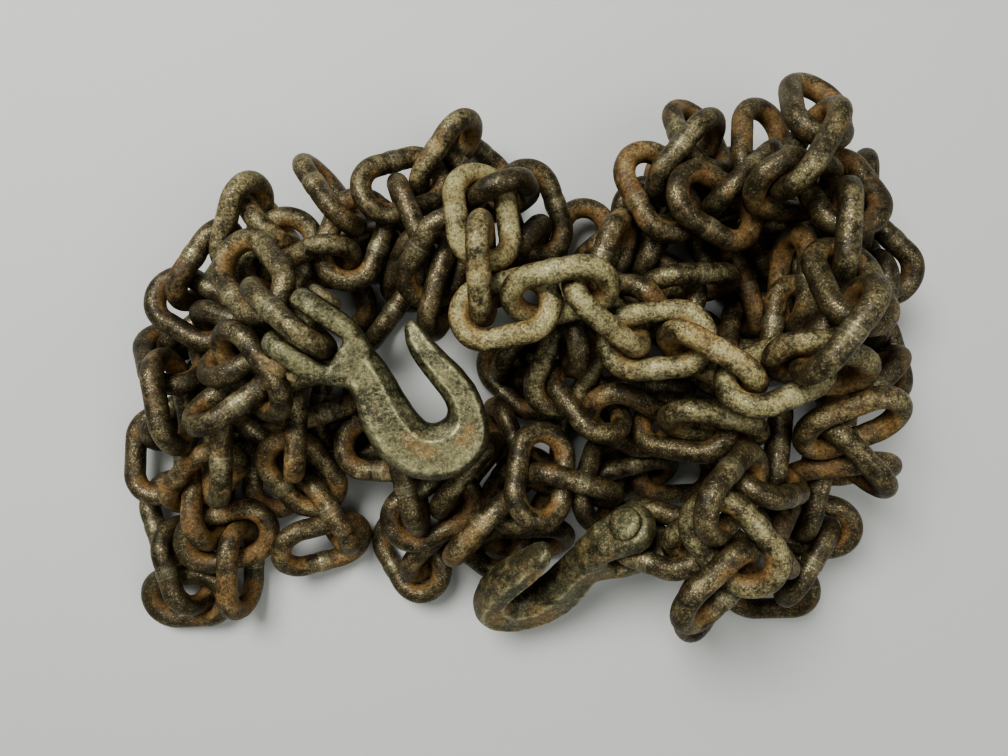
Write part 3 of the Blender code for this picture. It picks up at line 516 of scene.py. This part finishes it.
def findRuns(size, search):
    runs = {}
    worst = 0.0
    for name in sorted(nodes):
        if name.startswith("chain_"):
            found = linksOf(nodes[name], size, search)
            worst = max([worst] + [link[2] for link in found])
            run = name[len("chain_"):].rsplit("_", 1)[0]
            runs.setdefault(run, {"links": [], "nodes": []})
            runs[run]["links"].extend(found)
            runs[run]["nodes"].append(name)
    total = sum(len(run["links"]) for run in runs.values())
    print(f"links found: {total} in {len(runs)} runs, worst fit {worst / mm:.4f} mm")
    return runs


def linkTree(size, material):
    tree, settings, geo, given = startTree("welded links", {
        "Wire radius": size["wireRadius"], "Bend radius": size["bendRadius"],
        "Half straight": size["halfStraight"], "Stations": size["stations"], "Sides": size["sides"],
        "Weld swell": size["weldSwell"], "Weld half width": size["weldHalfWidth"],
        "Dent": size["dent"], "Seed": size["seed"],
    })
    wire = given["Wire radius"]
    bend = given["Bend radius"]
    straight = given["Half straight"]
    weldWidth = given["Weld half width"]
    steps = size["ringSteps"]

    # middle line: a circle pulled apart along X, with evenly spaced stations
    ring = geo.node("GeometryNodeCurvePrimitiveCircle", None, named={"Resolution": steps, "Radius": bend})
    x = geo.node("ShaderNodeSeparateXYZ", None, geo.node("GeometryNodeInputPosition"))
    y = Value(geo, x.socket.node.outputs[1])
    side = geo.node("ShaderNodeMath", {"operation": "SIGN"}, x)
    pulled = geo.node("ShaderNodeCombineXYZ", None, x + side * straight, y, 0.0)
    ring = geo.node("GeometryNodeSetPosition", None, ring, named={"Position": pulled})
    ring = geo.node("GeometryNodeResampleCurve", None, ring, named={"Count": given["Stations"]})
    ring = geo.node("GeometryNodeCaptureAttribute", None, ring)
    capture = ring.socket.node
    capture.capture_items.new("FLOAT", "weldMask")
    capture.capture_items.new("FLOAT", "swell")
    weldSide = y.smooth(*size["weldStart"])
    across = x / weldWidth
    weldMask = weldSide * (across * across * -1.0).maths("EXPONENT")
    groove = (x.maths("ABSOLUTE") - weldWidth * size["grooveAt"]) / (weldWidth * size["grooveWidth"])
    groove = weldSide * (groove * groove * -1.0).maths("EXPONENT")
    swell = weldMask * given["Weld swell"] - groove * given["Weld swell"] * size["grooveDepth"] + 1.0
    geo.plug(capture, 1, weldMask)
    geo.plug(capture, 2, swell)
    heldWeld = Value(geo, capture.outputs[1])
    heldSwell = Value(geo, capture.outputs[2])
    circle = {"Resolution": given["Sides"], "Radius": wire}
    section = geo.node("GeometryNodeCurvePrimitiveCircle", None, named=circle)
    bar = geo.node("GeometryNodeCurveToMesh", None, ring, section, heldSwell)

    # where the next link bears: the inner side of the bends
    away = x.maths("ABSOLUTE") - straight
    fromBend = geo.node("ShaderNodeCombineXYZ", None, away.atLeast(0.0), y, 0.0)
    outward = geo.node("ShaderNodeVectorMath", {"operation": "LENGTH"}, fromBend, output=1)
    inner = (bend - outward) / wire
    seat = away.smooth(*size["seatAlong"]) * inner.smooth(*size["seatInner"])
    for name, value in (("seat", seat), ("weld", heldWeld)):
        bar = geo.node("GeometryNodeStoreNamedAttribute", {"data_type": "FLOAT", "domain": "POINT"}, bar,
                       named={"Name": name, "Value": value})

    points = geo.node("GeometryNodeMeshToPoints", None, given["Geometry"])
    euler = geo.node("GeometryNodeInputNamedAttribute", {"data_type": "FLOAT_VECTOR"}, "linkTurn")
    turn = geo.node("FunctionNodeEulerToRotation", None, euler)
    laid = geo.node("GeometryNodeInstanceOnPoints", None, points, named={"Instance": bar, "Rotation": turn})
    laid = geo.node("GeometryNodeRealizeInstances", None, laid)

    # the dents read the laid place, so they are different on every link
    laid = pushDents(geo, laid, given["Dent"], given["Seed"], size["dents"])
    laid = geo.node("GeometryNodeSetShadeSmooth", None, laid)
    laid = geo.node("GeometryNodeSetMaterial", None, laid, named={"Material": material})
    geo.node("NodeGroupOutput", None, laid)
    return tree, settings


def makeRun(name, run, tree, settings, rng):
    dust, rust, tone = runLook.get(name, runLook["others"])
    lowDust, lowPaintedShade = linkVariety["lowDust"], linkVariety["lowPaintedShade"]
    mesh = bpy.data.meshes.new("links_" + name)
    mesh.from_pydata([tuple(link[0]) for link in run["links"]], [], [])
    columns = {"linkTurn": [], "dust": [], "rust": [], "tone": []}
    for middle, turn, _ in run["links"]:
        # the weld may be on either side
        flip = np.diag([1.0, 1.0, 1.0]) if rng.random() < 0.5 else np.diag([-1.0, -1.0, 1.0])
        columns["linkTurn"].extend(Matrix((turn @ flip).tolist()).to_euler())
        lift = share(middle[2] - linkVariety["lowest"], linkVariety["rise"])
        pale = paleness(middle, paleLook)
        dustHere = dust * (lowDust + (1.0 - lowDust) * lift) + pale * paleLook["dust"]
        rustHere = rust + pale * paleLook["rust"]
        # links low in the heap get a lower tone: painted shade where the heap is deep
        toneWithShadeHere = tone * (lowPaintedShade + (1.0 - lowPaintedShade) * lift) + pale * paleLook["tone"]
        columns["dust"].append(dustHere + rng.uniform(*linkVariety["dust"]))
        columns["rust"].append(rustHere + rng.uniform(*linkVariety["rust"]))
        columns["tone"].append(toneWithShadeHere * rng.uniform(*linkVariety["tone"]))
    for key, values in columns.items():
        keepValues(mesh, key, values, "FLOAT_VECTOR" if key == "linkTurn" else "FLOAT")
    links = solidObject("links_" + name, mesh)
    runTree(links, tree, settings)
    links.data.name = "links_" + name
    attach(links, "root")
    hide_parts(*run["nodes"])
    return len(links.data.polygons)


def makeChain(size):
    iron = chainMaterial(chainFinish)
    runs = findRuns(size, linkSearch)
    tree, settings = linkTree(size, iron)
    rng = np.random.default_rng(size["seed"])
    faces = sum(makeRun(name, runs[name], tree, settings, rng) for name in sorted(runs))
    print("links made:", faces, "faces")


makeChain(linkSize)


# Hooks: forged body, pin with its head, cotter. Sizes in millimetres in the hook's own frame:
# X from the pin to the bowl, Y from the shank to the tip, Z across the blade
hookShape = {
    "voxel": 0.8,
    "stationSteps": 5,
    "dent": 0.8,
    "dents": ((0.07, 2.0, 1.4), (0.30, 3.0, 0.5)),
    "soften": (0.5, 6),
    "softenRoot": (0.6, 30),
    "holeRadius": 5.75,
    "holeSides": 48,
    "earInner": 8.6,
    "earOuter": 20.0,
    "earRadius": 15.0,
    "earHalf": 11.5,
    "earSteps": 24,
    "earTaper": 0.75,
    "earEnd": 30.0,
    "earSlant": 0.85,
    "neckAt": 12.0,
    "neckSwell": 1.4,
    # how far from the ear's inner or outer face, and how much it is drawn in there
    "earInnerLevels": ((0.0, 2.2), (0.8, 0.9), (2.2, 0.0)),
    "earOuterLevels": ((5.0, 0.0), (2.6, 0.8), (1.0, 2.2), (0.0, 4.4)),
    # where along the hook, lower and upper edge, half thickness
    "rootLevels": (
        (21.6, -16.4, 16.4, 9.6), (22.4, -18.6, 18.6, 11.0), (25.0, -17.8, 17.8, 11.3),
        (29.0, -15.6, 15.9, 11.2), (33.0, -13.8, 14.0, 10.9), (37.0, -12.6, 12.4, 10.4),
    ),
    "rootSteps": 36,
    "rootSquare": 0.42,
    # where the worn root begins and ends, and over what length
    "rootWorn": ((12.0, 6.0), (42.0, 8.0)),
    # share across the blade of the two forged ridges, and how the pale lines and the painted shade on the
    # bevels lie by them
    "ridgeLines": (0.44, -0.62),
    "ridgeWidth": 1.0,
    "ridgeSteps": 8,
    "ridgeHigh": (0.62, 0.2),
    "bevelFall": (0.06, 0.22),
    "bevelReach": 14.0,
    "neckEnd": 34.0,
    # place on the blade and reach
    "rustedSpots": ((79.0, -17.0, 6.0), (87.0, -18.0, 6.5), (93.0, -16.0, 4.0), (102.0, -2.0, 4.5),
                    (102.0, 6.0, 4.0)),
    # how far past the last station the tip is closed, how small it is there, and which way it goes
    "tipEnds": ((1.2, 0.80), (2.0, 0.45)),
    "tipWay": (-0.9, 0.45, 0.0),
    # slot side, back side, half thickness
    "blade": [
        ((26.0, 14.0), (26.0, -13.6), 9.6),
        ((32.0, 13.4), (32.0, -12.9), 10.4),
        ((39.0, 12.0), (38.5, -13.3), 10.8),
        ((47.5, 9.2), (44.5, -17.5), 10.8),
        ((56.5, 5.0), (51.5, -23.5), 11.0),
        ((65.0, 0.8), (59.0, -28.8), 11.2),
        ((74.0, -3.0), (69.8, -33.8), 11.5),
        ((80.5, -4.6), (80.7, -35.4), 11.5),
        ((84.0, -4.0), (91.5, -34.4), 11.5),
        ((86.5, -2.0), (101.8, -30.1), 11.5),
        ((88.0, 0.5), (110.3, -23.0), 11.5),
        ((88.8, 3.0), (116.1, -13.0), 11.5),
        ((88.5, 5.5), (117.5, -1.5), 11.3),
        ((87.0, 8.0), (114.5, 8.5), 11.0),
        ((83.0, 10.6), (106.5, 17.5), 10.8),
        ((77.0, 13.0), (96.5, 25.0), 10.6),
        ((70.0, 15.2), (84.0, 29.8), 10.2),
        ((62.0, 17.8), (71.0, 32.3), 9.6),
        ((55.0, 21.0), (60.5, 34.5), 8.6),
        ((49.0, 25.0), (52.5, 36.8), 7.2),
        ((44.5, 30.0), (46.0, 37.6), 4.8),
    ],
    # forged section: a raised face between an outer bevel and a hollow round the slot, given as
    # how far across from the slot side (+1) to the back (-1) and the share of the half thickness
    "section": [
        (1.0, 0.0), (0.985, 0.28), (0.92, 0.50), (0.80, 0.64), (0.66, 0.77), (0.54, 0.90), (0.44, 1.0),
        (0.32, 0.965), (0.10, 0.945), (-0.15, 0.945), (-0.44, 0.965), (-0.60, 1.0), (-0.70, 0.93),
        (-0.82, 0.76), (-0.92, 0.55), (-0.98, 0.30), (-1.0, 0.0),
    ],
}


def smoothStations(stations, steps):
    rows = np.array([[*inner, *outer, thick] for inner, outer, thick in stations])
    padded = np.vstack([2 * rows[0] - rows[1], rows, 2 * rows[-1] - rows[-2]])
    made = []
    for k in range(1, len(padded) - 2):
        for step in range(steps):
            t = step / steps
            a, b, c, d = padded[k - 1:k + 3]
            made.append(0.5 * (2 * b + (c - a) * t + (2 * a - 5 * b + 4 * c - d) * t * t
                               + (3 * b - a - 3 * c + d) * t * t * t))
    made.append(rows[-1])
    return made


def loft(bm, rings):
    rows = [[bm.verts.new(Vector(p)) for p in ring] for ring in rings]
    count = len(rows[0])
    for one, two in zip(rows, rows[1:]):
        for s in range(count):
            bm.faces.new((one[s], one[(s + 1) % count], two[(s + 1) % count], two[s]))
    bm.faces.new(rows[0][::-1])
    bm.faces.new(rows[-1])


def meshOf(bm, name):
    bmesh.ops.recalc_face_normals(bm, faces=bm.faces)
    mesh = bpy.data.meshes.new(name)
    bm.to_mesh(mesh)
    bm.free()
    return mesh


# An ear is a slab with well rounded cheeks and a round end about the pin
def earRings(side, shape):
    low, high, steps = shape["earInner"], shape["earOuter"], shape["earSteps"]
    levels = [(low + up, inset) for up, inset in shape["earInnerLevels"]]
    levels += [(high - down, inset) for down, inset in shape["earOuterLevels"]]
    neck, swell = shape["neckAt"], shape["neckSwell"]
    rings = []
    for y, inset in levels:
        radius = shape["earRadius"] - inset
        half = shape["earHalf"] - inset * shape["earTaper"]
        end = shape["earEnd"] - shape["earSlant"] * (y - low)
        ring = []
        for step in range(steps + 1):
            angle = math.radians(90 + 180 * step / steps)
            ring.append((radius * math.cos(angle), side * y, radius * math.sin(angle)))
        ring.extend([(neck, side * y, -half - swell), (end, side * y, -half),
                     (end, side * y, half), (neck, side * y, half + swell)])
        rings.append(ring)
    return rings


def squared(value, power):
    return math.copysign(abs(value) ** power, value)


def rootRings(shape):
    steps, power = shape["rootSteps"], shape["rootSquare"]
    rings = []
    for x, low, high, half in shape["rootLevels"]:
        ring = []
        for step in range(steps):
            angle = 2 * math.pi * step / steps
            across, up = squared(math.cos(angle), power), squared(math.sin(angle), power)
            ring.append((x, (low + high) / 2 + across * (high - low) / 2, up * half))
        rings.append(ring)
    return rings


def bladeRings(shape):
    upper = shape["section"]
    section = upper + [(a, -b) for a, b in upper[-2:0:-1]]
    rings = []
    for row in smoothStations(shape["blade"], shape["stationSteps"]):
        slotSide, back, thick = row[0:2], row[2:4], row[4]
        centre, reach = (slotSide + back) / 2, (slotSide - back) / 2
        rings.append([(centre[0] + reach[0] * a, centre[1] + reach[1] * a, thick * b) for a, b in section])
    tip = np.array(rings[-1])
    middle = tip.mean(axis=0)
    for reach, size in shape["tipEnds"]:
        rings.append([tuple(middle + (p - middle) * size + np.array(shape["tipWay"]) * reach) for p in tip])
    return rings


def hookBody(shape):
    bm = bmesh.new()
    loft(bm, bladeRings(shape))
    for side in (1, -1):
        loft(bm, earRings(side, shape))
    loft(bm, rootRings(shape))
    return meshOf(bm, "hook body")


def roundBar(points, radii, sides):
    bm = bmesh.new()
    turns = [2 * math.pi * s / sides for s in range(sides)]
    loft(bm, [[(x + radius * math.cos(t), y, z + radius * math.sin(t)) for t in turns]
              for (x, y, z), radius in zip(points, radii)])
    return meshOf(bm, "round bar")


def softened(made, group, factor, rounds):
    smooth = made.modifiers.new("soften", "SMOOTH")
    smooth.factor = factor
    smooth.iterations = rounds
    if group:
        smooth.vertex_group = group


# The fork's crotch and neck are worn rounder than the rest
def markRoot(made, shape):
    group = made.vertex_groups.new(name="fork root")
    (start, rise), (end, fall) = shape["rootWorn"]
    for vertex in made.data.vertices:
        weight = share(vertex.co.x - start, rise) * share(end - vertex.co.x, fall)
        if weight > 0.0:
            group.add([vertex.index], weight, "REPLACE")


# Where the forging's ridges run, for the worn pale lines along them, how far a bevel falls away from them,
# for the painted shade on the bevels, and where the face has rusted
def markFace(mesh, shape):
    stations = np.array(smoothStations(shape["blade"], shape["ridgeSteps"]))
    middles = (stations[:, 0:2] + stations[:, 2:4]) / 2
    halves = (stations[:, 0:2] - stations[:, 2:4]) / 2
    place = np.zeros(len(mesh.vertices) * 3)
    mesh.vertices.foreach_get("co", place)
    place = place.reshape(-1, 3)
    worn = np.zeros(len(place))
    paintedBevelShade = np.zeros(len(place))
    slotLine, backLine = shape["ridgeLines"]
    (highStart, highRise), (fallStart, fallRise) = shape["ridgeHigh"], shape["bevelFall"]
    block = 4000  # vertices at a time, to spare memory
    for start in range(0, len(place), block):
        part = place[start:start + block]
        here = slice(start, start + block)
        blade = part[:, 0] > shape["neckEnd"]
        for line in (slotLine, backLine):
            spots = middles + halves * line
            gap = np.linalg.norm(part[:, None, :2] - spots[None, :, :], axis=2)
            nearest, gap = gap.argmin(axis=1), gap.min(axis=1)
            level = np.abs(part[:, 2]) / stations[nearest, 4]
            high = np.clip((level - highStart) / highRise, 0.0, 1.0)
            pale = np.exp(-(gap / shape["ridgeWidth"]) ** 2) * high * blade
            worn[here] = np.maximum(worn[here], pale)
            across = ((part[:, :2] - middles[nearest]) * halves[nearest]).sum(axis=1)
            across = across / (halves[nearest] ** 2).sum(axis=1)
            past = across - slotLine if line == slotLine else backLine - across
            past = past * (gap < shape["bevelReach"])
            fallen = np.clip((past - fallStart) / fallRise, 0.0, 1.0) * blade
            paintedBevelShade[here] = np.maximum(paintedBevelShade[here], fallen)
    rusted = np.zeros(len(place))
    for x, y, reach in shape["rustedSpots"]:
        rusted += np.exp(-((place[:, 0] - x) ** 2 + (place[:, 1] - y) ** 2) / reach ** 2)
    keepValues(mesh, "ridge", worn)
    keepValues(mesh, "paintedBevelShade", paintedBevelShade)
    keepValues(mesh, "rusted", rusted)


def dented(made, depth, seed):
    tree, settings, geo, given = startTree("forging dents", {"Depth": depth, "Seed": seed})
    bent = pushDents(geo, given["Geometry"], given["Depth"], given["Seed"], hookShape["dents"])
    geo.node("NodeGroupOutput", None, bent)
    runTree(made, tree, settings)


hookFinish = {
    "scale": (0.044, 0.042, 0.022),
    "scaleLight": (0.124, 0.117, 0.058),
    "dust": (0.292, 0.262, 0.124),
    "rust": (0.225, 0.135, 0.042),
    "rustDark": (0.110, 0.066, 0.022),
    "worn": (0.460, 0.430, 0.250),
    "patchScale": 48.0,
    "grainScale": 520.0,
    "ridgeShare": 0.66,
    "bevelShade": 0.34,
    "rustStrength": 0.80,
    "dustStrength": 0.62,
    "spotDustLost": 0.75,
    "pitShade": 0.30,
    "fleckEdges": (0.54, 0.63),
    "roughness": 0.44,
    "metallic": 0.55,
    "metallicMost": 0.85,
    "grainDepth": 0.00026,
    "patchDepth": 0.0009,
}


def hookMaterial(name, rustShare, dustShare, finish=hookFinish):
    made, shader, paint, where, upward = newMaterial(name)
    ridge, rusted, paintedBevelShade = (paint.own(key) for key in ("ridge", "rusted", "paintedBevelShade"))
    patches = paint.noise(where, finish["patchScale"], 6.0, 0.62)
    mottle = paint.noise(where, finish["patchScale"] * 4.0, 5.0, 0.68, (2.0, 9.0, 4.0))
    grain = paint.noise(where, finish["grainScale"], 5.0, 0.7)
    blotches = paint.noise(where, finish["patchScale"] * 0.8, 4.0, 0.62, (5.0, 1.0, 7.0))
    flecks = paint.noise(where, finish["grainScale"] * 1.6, 3.0, 0.75, (1.0, 3.0, 2.0))
    lies = (upward * 0.5 + 0.5).smooth(0.5, 1.0)

    scale = (patches * 0.45 + mottle * 0.35 + grain * 0.2).smooth(0.38, 0.60)
    colour = paint.mix(scale, finish["scale"], finish["scaleLight"])
    rustCover = ((blotches - 0.5) * 2.4 + (mottle - 0.5) * 1.4 + rusted * 0.9 + rustShare).smooth(0.0, 0.6)
    rustBright = (grain * 0.6 + mottle * 0.4).smooth(0.38, 0.60)
    rustColour = paint.mix(rustBright, finish["rustDark"], finish["rust"])
    colour = paint.mix(rustCover * finish["rustStrength"], colour, rustColour)
    # dust lies on what faces up, but little of it on the rusted spots
    dustCover = lies * 0.45 + (mottle - 0.5) * 0.6 + (patches - 0.5) * 0.8 + (grain - 0.5) * 1.8 + dustShare
    dustCover = dustCover.smooth(0.15, 0.85) * (1.0 - rusted.atMost(1.0) * finish["spotDustLost"])
    colour = paint.mix(dustCover * finish["dustStrength"], colour, finish["dust"])
    # bare metal in small flecks and along the ridges
    rubbed = ridge * finish["ridgeShare"] * mottle.smooth(0.34, 0.60)
    wornCover = (flecks + (mottle - 0.5) * 0.4).smooth(*finish["fleckEdges"])
    wornCover = (wornCover * 0.5 + rubbed).atMost(1.0)
    colour = paint.mix(wornCover, colour, finish["worn"])
    pitted = (mottle * 0.35 + grain * 0.65).smooth(0.44, 0.34) * finish["pitShade"]
    # the bevels falling away from the ridges are painted darker, a painted shade
    shade = (1.0 - pitted) * (1.0 - paintedBevelShade * finish["bevelShade"]) * (0.80 + patches * 0.40)
    colour = paint.darken(colour, shade)

    roughness = finish["roughness"] + 0.22 * rustCover + 0.18 * dustCover - 0.12 * wornCover
    roughness = roughness + (grain - 0.5) * 0.3
    metallic = finish["metallic"] - 0.45 * rustCover - 0.32 * dustCover + 0.20 * wornCover
    metallic = metallic.atLeast(0.0).atMost(finish["metallicMost"])
    heights = ((grain * 0.6 + flecks * 0.4, finish["grainDepth"]),
               (mottle * 0.7 + patches * 0.5, finish["patchDepth"]))
    finishSurface(paint, shader, colour, roughness, metallic, heights)
    return made


pinShape = {
    "radius": 5.4,
    "tail": 27.5,
    "sides": 48,
    "dent": 0.5,
    "headRadius": 10.0,
    "headGap": 0.3,
    "headHeight": 5.0,
    # how far from the tail's end or the head's underside, and how much less than the full radius
    "tailLevels": ((0.0, 1.4), (0.5, 0.4), (1.5, 0.0)),
    "headLevels": ((0.0, 0.9), (0.7, 0.0), (1.8, 0.0), (3.0, 0.5), (4.0, 1.6), (4.6, 3.2), (4.9, 5.2),
                   (5.0, 8.0)),
    # where the rust ends, and over what length
    "rustedTail": (-17.0, 2.0),
}


# Where the CAD's hook lies: its pin gives the origin and Y, its body gives X
def hookFrame(name):
    pin = np.array([list(v.co) for v in nodes[name + "_pin"].data.vertices])
    body = np.array([list(v.co) for v in nodes[name].data.vertices])
    middle = pin.mean(axis=0)
    along = np.linalg.svd(pin - middle, full_matrices=False)[2][0]
    reach = (pin - middle) @ along
    width = np.linalg.norm((pin - middle) - np.outer(reach, along), axis=1)
    # Y runs towards the pin's wide head
    if width[reach < reach.min() + 2 * mm].max() > width[reach > reach.max() - 2 * mm].max():
        along = -along
    headTop = (hookShape["earOuter"] + pinShape["headGap"] + pinShape["headHeight"]) * mm
    onAxis = middle - along * (middle @ along)
    origin = onAxis + along * ((pin @ along).max() - headTop)
    spread = (body - origin) - np.outer((body - origin) @ along, along)
    # the far side of the bowl is level with the pin across the blade, so it gives the direction
    across = np.linalg.svd(spread, full_matrices=False)[2][0]
    ahead = across if across @ spread.mean(axis=0) > 0 else -across
    return np.column_stack([ahead, along, np.cross(ahead, along)]), origin


def placeMesh(mesh, turn, origin):
    rows = [[*(turn[r] * mm), origin[r]] for r in range(3)] + [[0, 0, 0, 1]]
    mesh.transform(Matrix(rows))
    mesh.update()
    for face in mesh.polygons:
        face.use_smooth = True


def forgedBody(name, shape, seed):
    body = solidObject(name + "_forging", hookBody(shape))
    fuse = body.modifiers.new("fuse", "REMESH")
    fuse.mode = "VOXEL"
    fuse.voxel_size = shape["voxel"]
    applied(body)
    markRoot(body, shape)
    softened(body, None, *shape["soften"])
    softened(body, "fork root", *shape["softenRoot"])
    hole = roundBar([(0, -30, 0), (0, 30, 0)], [shape["holeRadius"]] * 2, shape["holeSides"])
    drill = solidObject("drill", hole)
    cut = body.modifiers.new("drill", "BOOLEAN")
    cut.operation = "DIFFERENCE"
    cut.object = drill
    applied(body)
    bpy.data.objects.remove(drill)
    bpy.data.meshes.remove(hole)
    dented(body, shape["dent"], seed)
    markFace(body.data, shape)
    return body


def clevisPin(name, shape, seed):
    under = hookShape["earOuter"] + shape["headGap"]
    head, shaft, tail = shape["headRadius"], shape["radius"], -shape["tail"]
    levels = [(tail + up, shaft - less) for up, less in shape["tailLevels"]]
    levels += [(y, shaft) for y in (-20.0, 0.0, under - 0.2)]
    levels += [(under + up, head - less) for up, less in shape["headLevels"]]
    bar = roundBar([(0, y, 0) for y, radius in levels], [radius for y, radius in levels], shape["sides"])
    pin = solidObject(name + "_clevis_pin", bar)
    dented(pin, shape["dent"], seed)
    rustedEnd, fade = shape["rustedTail"]
    keepValues(pin.data, "rusted", [share(rustedEnd - vertex.co.y, fade) for vertex in pin.data.vertices])
    return pin


cotterShape = {
    "wire": 1.6,
    "fromTail": 4.0,
    "sides": 18,
    # where along the cotter, and how much more than its wire's radius
    "levels": ((-11.5, -0.5), (-11.0, 0.0), (-3.0, 0.0), (6.4, 0.0), (7.2, 1.0), (8.2, 1.3),
               (10.8, 1.3), (11.9, 0.7), (12.3, -0.4)),
}


def splitPin(name, shape):
    bm = bmesh.new()
    level, sides = -pinShape["tail"] + shape["fromTail"], shape["sides"]
    turns = [2 * math.pi * step / sides for step in range(sides)]
    rings = []
    for x, more in shape["levels"]:
        radius = shape["wire"] + more
        rings.append([(x, level + radius * math.cos(t), radius * math.sin(t)) for t in turns])
    loft(bm, rings)
    return solidObject(name + "_split_pin", meshOf(bm, "split pin"))


def makeHook(name, materials, seed):
    turn, origin = hookFrame(name)
    pieces = ((forgedBody(name, hookShape, seed), name, "hook_iron", materials[0]),
              (clevisPin(name, pinShape, seed), name + "_pin", "pin_iron", materials[1]),
              (splitPin(name, cotterShape), name + "_cotter", "cotter_iron", materials[2]))
    for piece, node, slot, material in pieces:
        placeMesh(piece.data, turn, origin)
        piece.data.materials.clear()
        piece.data.materials.append(material)
        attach(piece, "root")
        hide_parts(node)
    print(name, "made:", len(pieces[0][0].data.polygons), "faces in its body")


# Each finish with how rusty and how dusty it is, and each hook with its finish and the seed of its dents
hookSet = {
    "finishes": {
        "clevis pin iron": (0.06, -0.08),
        "rusty split pin": (0.75, 0.0),
        "forged hook iron": (-0.26, 0.0),
        "dusty forged hook iron": (0.16, -0.26),
    },
    "hooks": {
        "hook_1": ("forged hook iron", 3.0),
        "hook_2": ("dusty forged hook iron", 8.0),
    },
}


def makeHooks(chosen):
    irons = {name: hookMaterial(name, rust, dust) for name, (rust, dust) in chosen["finishes"].items()}
    for name, (forging, seed) in chosen["hooks"].items():
        materials = (irons[forging], irons["clevis pin iron"], irons["rusty split pin"])
        makeHook(name, materials, seed)


makeHooks(hookSet)

# Floor and light
roomLook = {
    "floorHalf": 4.0,
    "floorColour": (0.56, 0.57, 0.54),
    "floorRoughness": 0.85,
    "aimHeight": 0.05,
    "keyPlace": (-0.55, 0.75, 1.55),
    "keySize": 0.9,
    "keyPower": 34.0,
    "fillPlace": (0.9, -0.4, 1.5),
    "fillSize": 1.4,
    "fillPower": 9.0,
    "sky": (0.80, 0.84, 0.80),
    "skyStrength": 0.27,
}


def areaLight(name, place, size, power, aimHeight):
    data = bpy.data.lights.new(name, "AREA")
    data.shape = "DISK"
    data.size = size
    data.energy = power
    lamp = bpy.data.objects.new(name, data)
    lamp.location = place
    lamp.rotation_euler = (Vector((0, 0, aimHeight)) - Vector(place)).to_track_quat("-Z", "Y").to_euler()
    bpy.context.scene.collection.objects.link(lamp)


def makeRoom(look):
    half = look["floorHalf"]
    mesh = bpy.data.meshes.new("floor")
    corners = [(-half, -half, 0), (half, -half, 0), (half, half, 0), (-half, half, 0)]
    mesh.from_pydata(corners, [], [(0, 1, 2, 3)])
    floor = solidObject("floor", mesh)
    made = bpy.data.materials.new("pale floor")
    made.use_nodes = True
    shader = made.node_tree.nodes["Principled BSDF"]
    shader.inputs["Base Color"].default_value = (*look["floorColour"], 1.0)
    shader.inputs["Roughness"].default_value = look["floorRoughness"]
    mesh.materials.append(made)
    for name in ("key", "fill"):
        areaLight(name, look[name + "Place"], look[name + "Size"], look[name + "Power"], look["aimHeight"])
    world = bpy.data.worlds.new("soft sky")
    world.use_nodes = True
    sky = world.node_tree.nodes["Background"]
    sky.inputs["Color"].default_value = (*look["sky"], 1.0)
    sky.inputs["Strength"].default_value = look["skyStrength"]
    bpy.context.scene.world = world


makeRoom(roomLook)
bpy.context.scene.view_settings.look = "AgX - Medium High Contrast"
print("floor and light in place")
